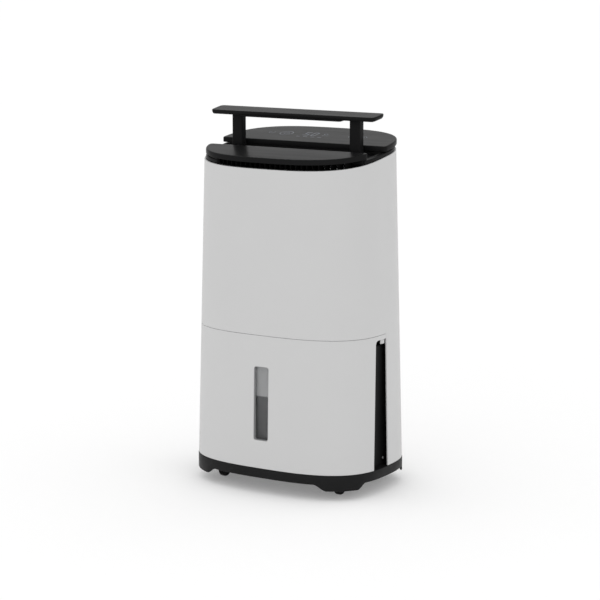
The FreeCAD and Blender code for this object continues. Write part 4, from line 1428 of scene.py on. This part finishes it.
@dataclass
class Handle(Assembly):
    """Lift-up handle: a flat bar with a deeper grip on two posts."""

    deck: DeckForm = field(default_factory=DeckForm)
    top: float = 587.3
    front_y: float = -29.3
    rear_y: float = 4.5
    depth: float = 7.0
    grip_depth: float = 2.2
    grip_half: float = 88.0
    post_half: float = 9.1
    post_front: float = -15.6
    post_rear: float = -2.9
    post_foot: float = 446.0
    post_corner: float = 1.8
    collar_x: float = 2.2
    collar_y: float = 1.6
    collar_high: float = 5.0

    def lift(self, x: float, y: float, height: float) -> Point3:
        """Puts a plan point at a height above the bar's top plane."""
        return (x, y, self.top + height + self.deck.slope * y)

    def build(self) -> None:
        """Makes the bar, its grip and the posts."""
        self._bar()
        self._grip()
        self._posts()

    def _bar(self) -> None:
        """Flat bar with the deck's own plan and a hollowed lower edge."""
        plan = self.deck.part(-1.4, y_min=self.front_y, y_max=self.rear_y, corner=7)
        bar = Shell("carry_bar")
        low = -self.depth
        profile = [(4.2, low), (3.0, low), (2.2, low + 0.25)]
        profile += [(1.2, low + 1.4), (0.45, low + 3.0), (0.0, low + 4.6)]
        upper = bend(1.3, 0.0, 0.0, 18, rise=-1)[::-1]
        bar.slab(plan, profile + upper + [(2.6, 0.0)], self.lift)
        self.put(bar, Body.HANDLE, "deck_black", "handle_bar", smooth=40)

    def _grip(self) -> None:
        """Deeper middle of the bar, where the hand goes."""
        grip = Shell("carry_grip")
        rows = []
        upper, low = -self.depth, -self.grip_depth - self.depth
        for reach, inset, height in (
            (0.0, 4.2, low), (0.0, 3.2, low), (2.0, 1.6, low + 0.5),
            (6.0, 1.2, upper - 0.4), (7.5, 1.2, upper + 0.6),
        ):
            half = self.grip_half + reach - 1
            loop = rectangle(-half, half, self.front_y + inset, self.rear_y - inset, 3)
            rows.append([self.lift(x, y, height) for x, y in loop])
        grip.stack(rows)
        self.put(grip, Body.HANDLE, "deck_black")

    def _posts(self) -> None:
        """Two upright posts, each with a stop collar at its foot."""
        posts = Shell("carry_posts")
        for x in (-self.deck.post_x, self.deck.post_x):
            loop = rectangle(x - self.post_half, x + self.post_half,
                             self.post_front, self.post_rear, self.post_corner)
            foot = [[(px, py, self.post_foot + 2) for px, py in loop]]
            head = [[self.lift(px, py, -self.depth + 0.2) for px, py in loop]]
            middle = [[(px, py, z) for px, py in loop] for z in (480.0, 520.0, 550.0)]
            posts.stack(foot + middle + head)
            half = self.post_half + self.collar_x
            posts.block((x - half, self.post_front - self.collar_y, self.post_foot),
                        (x + half, self.post_rear + self.collar_y, self.post_foot + self.collar_high), 0.8)
        self.put(posts, Body.HANDLE, "deck_black", "handle_posts")


@dataclass
class Tank(Assembly):
    """Pull-out water tank: white panel, level window, bucket, bail and float."""

    form: BodyForm = field(default_factory=BodyForm)
    slot_front_foot: float = -39.5
    slot_front_top: float = -29.5
    slot_inner: float = -23.5
    slot_top: float = 242.0
    slot_bend: float = 8.0
    rear_y: float = 0.9
    front_columns: int = 128
    tab_inner: float = 150.0
    tab_front_x: float = 151.0
    tab_rear_x: float = 152.8
    tab_root: float = 154.4
    tab_front: float = -10.0
    tab_rear: float = -0.5
    tab_low: float = 234.0
    flange_x: float = 118.0
    flange_rear: float = -62.0
    flange_top: float = 43.9
    window_half: float = 13.2
    window_low: float = 84.5
    window_high: float = 200.5
    window_corner: float = 4.0
    window_back: float = -110.6
    bucket_half_x: float = 140.0
    bucket_front: float = 107.5
    bucket_rear: float = -6.0
    bucket_low: float = 44.3
    bucket_high: float = 204.0
    bucket_wall: float = 2.2
    water_line: float = 152.5
    bail_pin_x: float = 92.2
    bail_pin_y: float = -30.0

    def build(self) -> None:
        """Makes every piece of the tank."""
        self._panel()
        self._tabs()
        self._window()
        self._bucket()
        self._bail()
        self._float()

    def _slot_front(self, z: float) -> float:
        """Front edge of the finger slots, which curves over at the top.

        Args:
            z: Height above the floor.

        Returns:
            The edge's Y.
        """
        if z > self.slot_top - 1e-6:
            return self.slot_inner
        low = self.form.foot - 5
        knee = self.slot_top - self.slot_bend
        share = (min(z, knee) - low) / (knee - low)
        y = self.slot_front_foot + (self.slot_front_top - self.slot_front_foot) * share
        if z > knee:
            rise = (z - knee) / self.slot_bend
            y += (self.slot_inner - self.slot_front_top) * (1 - math.sqrt(max(0.0, 1 - rise * rise)))
        return y

    def _panel(self) -> None:
        """Curved front panel with its finger cut-outs and its window."""
        form = self.form
        foot = form.foot + form.gap
        knee = self.slot_top - self.slot_bend
        heights = spread(foot, knee, 18, 1.2)[:-1]
        heights += [knee + self.slot_bend * math.sin(math.radians(15 * k)) for k in range(7)]
        heights += spread(self.slot_top, form.parting - form.gap, 5, 1.0)[1:]
        first_upper = heights.index(next(z for z in heights if z > self.slot_top - 1e-6))
        ears = spread(0.0, 1.0, 5, 0.05)
        front = spread(0.0, 1.0, self.front_columns, 0.004)
        marks = [(0, u) for u in ears[:-1]] + [(1, u) for u in front[:-1]] + [(2, u) for u in ears]

        def place(column: int, row: int, inset: float) -> Point3:
            """Finds a corner of the grid.

            Args:
                column: Step round the plan.
                row: Step up.
                inset: How far inside the outer face.

            Returns:
                The corner.
            """
            part, share = marks[column]
            z = heights[row]
            plan = form.outline(z, inset)
            rear, slot = plan.turn_at(self.rear_y), plan.turn_at(self._slot_front(z))
            ends = ((rear, slot), (slot, -180 - slot), (-180 - slot, -180 - rear))[part]
            x, y = plan.point(ends[0] + (ends[1] - ends[0]) * share)
            return (x, y, z)

        shell = Shell("tank_panel")
        shell.sheet(len(marks) - 1, len(heights) - 1, place, form.wall,
                    lambda c, r: r >= first_upper or marks[c][0] == 1)
        cutter = Shell("window_cut")
        cutter.stack([[(x, y, z) for x, z in self._window_loop(0.0)] for y in (-140.0, -60.0)])
        shell.cut(cutter)
        self.put(shell, Body.TANK, "white_shell", "tank_front", bevel=0.55)

    def _tabs(self) -> None:
        """Hooked tab at the head of each finger slot, and the flange under the bucket."""
        tabs = Shell("tank_tabs")
        inner, front, rear, low = self.tab_inner, self.tab_front, self.tab_rear, self.tab_low
        for side in (-1, 1):
            corners = ((inner, front), (self.tab_front_x, front), (self.tab_rear_x, rear), (inner, rear))
            plan = round_corners([(side * x, y) for x, y in corners[::side]], 0.6)
            tabs.slab(plan, [(0.4, low), (0.0, low + 0.5), (0.0, low + 7.6)], level)
            a, b = sorted((side * inner, side * self.tab_root))
            tabs.block((a, front, low + 7.5), (b, rear, low + 9.5), 0.5)
        self.put(tabs, Body.TANK, "white_shell")

        form = self.form
        flange = Shell("tank_flange")
        skin = form.wall + 0.2
        plan = Outline(form.half_x - skin, form.half_y - skin).loop()
        for axis, limit, above in ((0, -self.flange_x, True), (0, self.flange_x, False),
                                   (1, self.flange_rear, False)):
            plan = clip(plan, axis, limit, above)
        flange.slab(plan, [(0, form.foot + form.gap), (0, self.flange_top)], level)
        self.put(flange, Body.TANK, "white_shell")

    def _window_loop(self, margin: float) -> Loop:
        """The window's rounded outline.

        Args:
            margin: How much larger than the opening it is all round.

        Returns:
            The outline in X and Z.
        """
        half = self.window_half + margin
        return rectangle(-half, half, self.window_low - margin, self.window_high + margin,
                         (self.window_corner + margin) * 1.15)

    def _window(self) -> None:
        """Deep white surround, painted a shaded grey, and the clear pane at its back."""
        surround = Shell("window_surround")
        rows = []
        wall = self.form.wall
        steps = ((-0.5, 0.25), (0.0, 0.15), (0.02, wall), (1.8, wall), (1.8, None), (-0.5, None))
        for margin, depth in steps:
            row = []
            for x, z in self._window_loop(margin):
                y = self.window_back if depth is None else self.form.on_surface(x, z, depth)[1]
                row.append((x, y, z))
            rows.append(surround.ring(row))
        for a, b in zip(rows, rows[1:] + rows[:1]):
            surround.join(a, b)
        # painted shade: the reveal wears a darker grey than the white shell
        self.put(surround, Body.TANK, "clear_window", look="surround")

        pane = Shell("window_pane")
        loop = self._window_loop(3.3)
        front, back = self.window_back, self.window_back + 1.8
        profile = [(0.8, front), (0.0, front + 0.5), (0.0, back - 0.5), (0.8, back)]
        pane.slab(loop, profile, lambda x, z, y: (x, y, z))
        self.put(pane, Body.TANK, "clear_window", "tank_window")

    def _bucket_plan(self) -> Loop:
        """Plan of the bucket: the body's curve in front, straight sides and back.

        Returns:
            The plan.
        """
        plan = Outline(self.form.half_x - 8, self.bucket_front).loop()
        for axis, limit, above in ((0, -self.bucket_half_x, True), (0, self.bucket_half_x, False),
                                   (1, self.bucket_rear, False)):
            plan = clip(plan, axis, limit, above)
        return round_corners(plan, 11, sharp=18)

    def _bucket(self) -> None:
        """Open bucket with rounded foot, and the water that stands in it."""
        wall = self.bucket_wall
        plan = self._bucket_plan()
        low, high = self.bucket_low, self.bucket_high
        foot = bend(4.0, 0.0, low, 18)
        rim = [(0, high - 0.4), (0.4, high), (wall - 0.4, high), (wall, high - 0.4)]
        inner = bend(3.0, wall, low + 2.5, 18)[::-1]
        bucket = Shell("water_bucket")
        bucket.slab(plan, foot + rim + inner, level)
        self.put(bucket, Body.TANK, "smoke_bucket", "tank_bucket")

        water = Shell("tank_water")
        skin, top = wall + 0.25, self.water_line
        profile = [(skin + 3.2, low + 2.9), (skin + 0.9, low + 3.8), (skin, low + 6),
                   (skin, top - 0.4), (skin + 0.2, top - 0.9), (skin + 2.5, top - 1.0)]
        water.slab(plan, profile, level)
        self.put(water, Body.TANK, "smoke_bucket", look="water")

    def _bail(self) -> None:
        """Folding carrying bail: round-cornered arms and a fuller grip, on two pins."""
        low, high = box_of("tank_bail")
        z = (low.z + high.z) / 2
        front, rear, arm = low.y + 5, high.y, high.x - 3
        corner = 9.0
        points: list[Point3] = [(-arm, rear, z), (-arm, rear - 4, z), (-arm, front + corner, z)]
        halves: list[Point2] = [(2.2, 1.9), (3.0, 2.5), (3.0, 2.5)]
        for k in range(1, 8):
            a = math.radians(90 * k / 8)
            points.append((-arm + corner * (1 - math.cos(a)), front + corner * (1 - math.sin(a)), z))
            halves.append((3.0 + k * 0.15, 2.5 + k * 0.06))
        for x, wide, tall in ((-60, 4.2, 3.0), (-44, 4.9, 3.45), (0, 5.0, 3.5)):
            points.append((x, front, z))
            halves.append((wide, tall))
        points += [(-x, y, w) for x, y, w in reversed(points[:-1])]
        halves += list(reversed(halves[:-1]))
        bail = Shell("carry_bail")
        bail.bar(points, halves)
        pin = [(0, -3.2), (2.4, -3.2), (2.9, -2.7), (2.9, 2.7), (2.4, 3.2), (0, 3.2)]
        for x in (-self.bail_pin_x, self.bail_pin_x):
            bail.turned(pin, (x, self.bail_pin_y, z), Way.X, 24)
        self.put(bail, Body.BAIL, "base_black", "tank_bail")

    def _float(self) -> None:
        """Foam float with soft rounded edges."""
        low, high = box_of("float_block")
        block = Shell("float_foam_block")
        block.slab(rectangle(low.x, high.x, low.y, high.y, 6), edge_profile(low.z, high.z, 2.4, 2.4), level)
        self.put(block, Body.FLOAT, "float_foam", "float_block")


@dataclass
class Base(Assembly):
    """Black base band with a skirt over each caster, the floor plate and the casters."""

    half_x: float = 160.39
    half_y: float = 118.98
    wall: float = 3.0
    top: float = 40.2
    bottom: float = 25.3
    skirt: float = 15.6
    flat_x: float = 110.5
    rise_x: float = 90.5
    flat_y: float = 71.0
    rise_y: float = 57.0
    caster_y: float = 67.0
    plate_low: float = 38.0
    rib_pitch: float = 70.0
    rib_half: float = 1.2
    rib_low: float = 31.0
    around: int = 520

    def _low(self, x: float, y: float) -> float:
        """Lower edge of the band: down over the casters, up between them.

        Args:
            x: X of a point of the band.
            y: Its Y.

        Returns:
            The edge's height there.
        """
        edges = []
        for at, flat, rise in ((abs(x), self.flat_x, self.rise_x), (abs(y), self.flat_y, self.rise_y)):
            share = min(max((at - rise) / (flat - rise), 0.0), 1.0)
            edges.append(self.bottom - (self.bottom - self.skirt) * share * share * (3 - 2 * share))
        return max(edges)

    def build(self) -> None:
        """Makes the band, the plate, the bosses and the casters."""
        self._band()
        self._underside()
        for name in CASTERS:
            self._caster(name)

    def _band(self) -> None:
        """Band round the base, its lower edge worked out at each step."""
        plan = Outline(self.half_x, self.half_y)
        band = Shell("base_skirt_band")
        rows = []
        wall, top = self.wall, self.top
        for i in range(self.around):
            turn = 360 * i / self.around
            low = self._low(*plan.point(turn))
            section = [(wall, top), (1.5, top), (0.7, top - 0.18), (0.2, top - 0.7), (0, top - 1.5),
                       (0, (top + low) / 2), (0, low + 1.2), (0.25, low + 0.4), (0.8, low),
                       (wall - 0.6, low), (wall, low + 0.6)]
            rows.append(band.ring([
                (*Outline(self.half_x - inset, self.half_y - inset).point(turn), z) for inset, z in section
            ]))
        for a, b in zip(rows, rows[1:] + rows[:1]):
            band.join(a, b)
        self.put(band, Body.CHASSIS, "base_black", "base_band")

    def _underside(self) -> None:
        """Floor plate, with ribs and caster bosses below it."""
        plate = Shell("base_floor")
        loop = Outline(self.half_x - self.wall, self.half_y - self.wall).loop()
        plate.slab(loop, [(0, self.plate_low), (0, self.top)], level)
        self.put(plate, Body.CHASSIS, "base_black", "base_plate")

        bosses = Shell("base_underside")
        reach, root = self.half_y - self.wall - 5, self.plate_low + 0.2
        for x in (-self.rib_pitch, 0, self.rib_pitch):
            bosses.block((x - self.rib_half, -reach, self.rib_low), (x + self.rib_half, reach, root), 0.4)
        boss = [(9.0, root), (9.0, 30.2), (8.4, 29.5), (4.6, 29.5), (4.2, 29.9), (4.2, root), (9.0, root)]
        for name, end in CASTERS.items():
            x = centre_of("caster_fork_" + name)[0]
            bosses.turned(boss, (x, end * self.caster_y, 0), Way.Z, 40)
        self.put(bosses, Body.CHASSIS, "base_black", "base_bosses")

    def _caster(self, name: str) -> None:
        """One caster: forked bracket on a stem, axle and wheel.

        Args:
            name: Which corner it is at.
        """
        low, high = box_of("caster_wheel_" + name)
        middle = tuple((low + high) / 2)
        half = (high.x - low.x) / 2
        radius = (high.z - low.z) / 2
        hub = [(1.56, 0.4), (1.9, 0.0), (3.8, 0.0), (4.1, 0.3), (4.3, 1.1)]
        tread = [(3.4, 1.2), (3.0, 0.9), (2.8, 0.2), (2.4, 0.0)]
        tread += [(1.4, 0.0), (0.6, 0.35), (0.12, 1.2), (0.0, 2.2)]
        profile = [(r, -half + along) for r, along in hub]
        profile += [(radius - inset, -half + along) for inset, along in tread]
        profile += [(radius, -0.5), (radius - 0.3, -0.3)]
        mirror = [(r, -a) for r, a in reversed(profile)]
        wheel = Shell("wheel_tread_" + name)
        wheel.turned(profile + mirror + profile[:1], middle, Way.X, 72)
        self.put(wheel, "wheel_" + name, "wheel_nylon", "caster_wheel_" + name)

        low, high = box_of("caster_fork_" + name)
        x = (low.x + high.x) / 2
        end = CASTERS[name]
        y = end * self.caster_y
        fork = Shell("caster_bracket_" + name)
        stem = [(0, 37.5), (3.4, 37.5), (4.15, 36.8), (4.15, 29.2)]
        cap = [(9.4, 29.2), (10.0, 28.7), (10.0, 27.7), (9.5, 27.2), (0, 27.2)]
        fork.turned(stem + cap, (x, y, 0), Way.Z, 40)
        side = [(7, 28), (-9, 28), (-16, 17), (-16, 11), (-14.6, 9.6), (-8, 9.6), (-6.6, 10.8), (7, 23)]
        for a, b in ((5.2, 7.5), (-7.5, -5.2)):
            fork.stack([[(x + across, y + end * along, z) for along, z in side] for across in (a, b)])
        swivel = "swivel_" + name
        self.put(fork, swivel, "base_black", "caster_fork_" + name, look="wheel_nylon", bevel=0.35)

        axle = Shell("caster_pin_" + name)
        reach = half + 3.0
        end_half = [(1.5, reach - 0.4), (1.1, reach), (0, reach)]
        axle.turned([(r, -along) for r, along in reversed(end_half)] + end_half, middle, Way.X, 20)
        self.put(axle, swivel, "steel_parts", "caster_axle_" + name)


@dataclass
class Fixings(Assembly):
    """Screws, the hose spout with its stopper, and the lead's gland."""

    form: BodyForm = field(default_factory=BodyForm)
    spout_x: float = -86.0
    spout_z: float = 236.0
    wing_x: float = 147.0

    @staticmethod
    def rear_screws(form: BodyForm) -> list[Point3]:
        """Face centres of the six screws in the rear cover.

        Args:
            form: The body's outer surface.

        Returns:
            The centres.
        """
        x, heights = 112.0, (62.0, 244.0, 500.0)
        return [(side * x, form.outline(z).reach_y(x), z) for side in (-1, 1) for z in heights]

    def build(self) -> None:
        """Makes every fixing."""
        screws = Shell("rear_cover_screws")
        for x, y, z in self.rear_screws(self.form):
            self._screw(screws, (x, y - 3, z), Way.Y, 1.0, 3.4, 2.6)
        self.put(screws, Body.CHASSIS, "steel_parts", "rear_screws")
        wings = Shell("wing_screw_heads")
        for side in (-1, 1):
            for y, z in ((7.5, 50.0), (22.0, 222.0)):
                self._screw(wings, (side * self.wing_x, y, z), Way.X, side, 2.6, 1.6)
        self.put(wings, Body.CHASSIS, "steel_parts", "wing_screws")
        self._spout()
        self._gland()

    def _screw(
        self, shell: Shell, foot: Point3, way: Way, sign: float, radius: float, height: float
    ) -> None:
        """Adds a pan head with a cross recess.

        Args:
            shell: The piece that it joins.
            foot: Middle of its seat.
            way: Its axis.
            sign: 1 if it stands along the axis, -1 if against it.
            radius: Its radius.
            height: Its height.
        """
        steps = 32
        dome = ((1.0, 0.35), (0.86, 0.72), (0.62, 0.93), (0.46, 1.0))
        profile = [(0, 0), (radius, 0)] + [(radius * r, sign * height * h) for r, h in dome]
        shell.turned(profile, foot, way, steps)
        # the recess: four notches round a sunk middle
        rim = shell.bm.verts[:][-steps:]
        axis = Vector(way.value)
        middle = Vector(foot) + axis * (sign * height)
        for k, vert in enumerate(rim):
            if k % 8 in (0, 1, 7):
                continue
            vert.co = middle + (vert.co - middle) * 0.42 - axis * (sign * height * 0.28)

    def _spout(self) -> None:
        """Barbed hose spout with its flange and riser, and the rubber stopper."""
        at = (self.spout_x, 0.0, self.spout_z)
        spout = Shell("hose_spout")
        profile = [(4.3, 77.0), (6.3, 74.0), (6.4, 86.0)]
        profile += [(9.6, 86.0), (10.0, 86.4), (10.0, 88.6), (9.6, 89.0), (6.1, 89.0)]
        for y in (93.0, 98.5, 104.0):
            profile += [(5.9, y), (6.45, y + 0.8), (6.0, y + 4.2)]
        profile += [(5.7, 109.2), (5.2, 110.0), (4.7, 110.0), (4.3, 109.5), (4.3, 77.0)]
        spout.turned(profile, at, Way.Y, 48)
        riser = [(6.0, 0), (6.0, 15.0), (4.0, 15.0), (4.0, 0), (6.0, 0)]
        spout.turned(riser, (at[0], 80.0, at[2]), Way.Z, 32)
        self.put(spout, Body.CHASSIS, "grey_frame", "drain_spout")
        plug = Shell("spout_stopper")
        stopper = [(0, 100.0), (3.6, 100.0), (4.1, 101.0), (4.2, 110.3)]
        cap = [(5.4, 110.3), (5.8, 110.8), (5.8, 112.8), (5.2, 113.4), (2.0, 113.5), (0, 113.2)]
        plug.turned(stopper + cap, at, Way.Y, 40)
        self.put(plug, Body.PLUG, "rubber_parts", "drain_plug")

    def _gland(self) -> None:
        """Ribbed ring that the mains lead leaves through."""
        x, _, z = centre_of("mains_gland")
        gland = Shell("lead_gland_ring")
        profile = [(3.6, 94.4), (4.0, 94.0), (10.6, 94.0), (11.0, 94.4)]
        profile += [(11.0, 96.6), (10.6, 97.0), (8.8, 97.0)]
        for y in (100.0, 103.0, 106.0):
            profile += [(8.8, y), (8.3, y + 0.5), (8.3, y + 1.3), (8.8, y + 1.8)]
        profile += [(8.8, 109.6), (8.0, 110.8), (4.2, 111.0), (3.6, 110.4), (3.6, 94.4)]
        gland.turned(profile, (x, 0.0, z), Way.Y, 48)
        self.put(gland, Body.CHASSIS, "base_black", "mains_gland")


@dataclass
class Works(Assembly):
    """The CAD nodes that stay: each takes its slot's finish, but the outlet fins take a near-black painted
    shade.
    """

    def build(self, frame: dict) -> None:
        """Dresses every carried-over node.

        Args:
            frame: The loaded bodies, nodes, joints and record.
        """
        slots = {part["node"]: part["material_slot"] for part in frame["record"]["subparts"]}
        for name, node in frame["nodes"].items():
            if node.hide_render:
                continue
            # the outlet fins get painted shade in place of their slot's finish
            material = self.finishes.get("hollow" if name == "outlet_fins" else slots[name])
            if not node.material_slots:
                node.data.materials.append(material)
            for holder in node.material_slots:
                holder.material = material
            LOG.info("%s: dressed as %s", name, slots[name])


@dataclass
class Studio:
    """Pale floor, soft light and the camera."""

    azimuth: float = 31.374
    elevation: float = 10.244
    lens: float = 121.96
    sensor: float = 36.0
    place: Point3 = (1.64189, -2.69060, 0.8570)
    side_step: float = -0.0011
    sky: float = 1.0
    glow: float = 0.20

    def build(self) -> None:
        """Makes the floor, the world, the lamps and the camera."""
        self._floor()
        self._world()
        self._lamp("overhead", (0.3, 0.2, 3.2), (0.0, 0.0, 0.2), 3.6, 0.4)
        self._lamp("front_fill", (0.5, -3.6, 1.3), (0.0, 0.0, 0.3), 2.2, 6.0)
        self._camera()

    def _floor(self) -> None:
        """Broad matt floor."""
        half, steps = 60.0, 24
        grid = bmesh.new()
        bmesh.ops.create_grid(grid, x_segments=steps, y_segments=steps, size=half)
        mesh = bpy.data.meshes.new("studio_floor")
        grid.to_mesh(mesh)
        grid.free()
        floor = bpy.data.objects.new("studio_floor", mesh)
        bpy.context.scene.collection.objects.link(floor)
        board = Board("studio_floor_finish")
        board.set(Roughness=0.8, Specular_IOR_Level=0.0)
        board.set(Emission_Color=(1.0, 1.0, 1.0, 1.0), Emission_Strength=self.glow)
        board.feed("Base Color", board.mixed(board.noise(400, 2.0), (0.80, 0.80, 0.80), (0.81, 0.81, 0.81)))
        board.feed("Normal", board.bump(board.noise(2.0, 2.0), 0.02))
        mesh.materials.append(board.material)

    def _world(self) -> None:
        """Even white surroundings."""
        scene = bpy.context.scene
        world = bpy.data.worlds.new("studio")
        world.use_nodes = True
        sky = world.node_tree.nodes["Background"]
        sky.inputs["Color"].default_value = (1.0, 1.0, 1.0, 1.0)
        sky.inputs["Strength"].default_value = self.sky
        scene.world = world
        scene.view_settings.view_transform = "Standard"

    def _lamp(self, name: str, at: Point3, aim: Point3, size: float, power: float) -> None:
        """Adds one soft square lamp.

        Args:
            name: The lamp's name.
            at: Where it hangs, in metres.
            aim: What it points at.
            size: Its side.
            power: Its power in watts.
        """
        data = bpy.data.lights.new(name, "AREA")
        data.shape = "SQUARE"
        data.size = size
        data.energy = power
        lamp = bpy.data.objects.new(name, data)
        lamp.location = at
        lamp.rotation_euler = (Vector(aim) - Vector(at)).to_track_quat("-Z", "Y").to_euler()
        bpy.context.scene.collection.objects.link(lamp)

    def _camera(self) -> None:
        """Adds the camera at its viewing angle."""
        data = bpy.data.cameras.new("camera")
        data.lens = self.lens
        data.sensor_width = self.sensor
        data.shift_x = self.side_step
        camera = bpy.data.objects.new("camera", data)
        a, e = math.radians(self.azimuth), math.radians(self.elevation)
        back = Vector((math.sin(a) * math.cos(e), -math.cos(a) * math.cos(e), math.sin(e)))
        camera.location = self.place
        camera.rotation_euler = (-back).to_track_quat("-Z", "Y").to_euler()
        bpy.context.scene.collection.objects.link(camera)
        bpy.context.scene.camera = camera


def main() -> None:
    """Builds the whole model and logs the faces of each piece."""
    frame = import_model()
    logging.basicConfig(level=logging.INFO, format="%(message)s")
    finishes = Finishes()
    Studio().build()
    for kind in (Base, Casing, Tank, Deck, Handle, Fixings):
        LOG.info("building %s", kind.__name__)
        kind(finishes).build()
    Works(finishes).build(frame)
    bpy.context.view_layer.update()


if __name__ == "__main__":
    main()
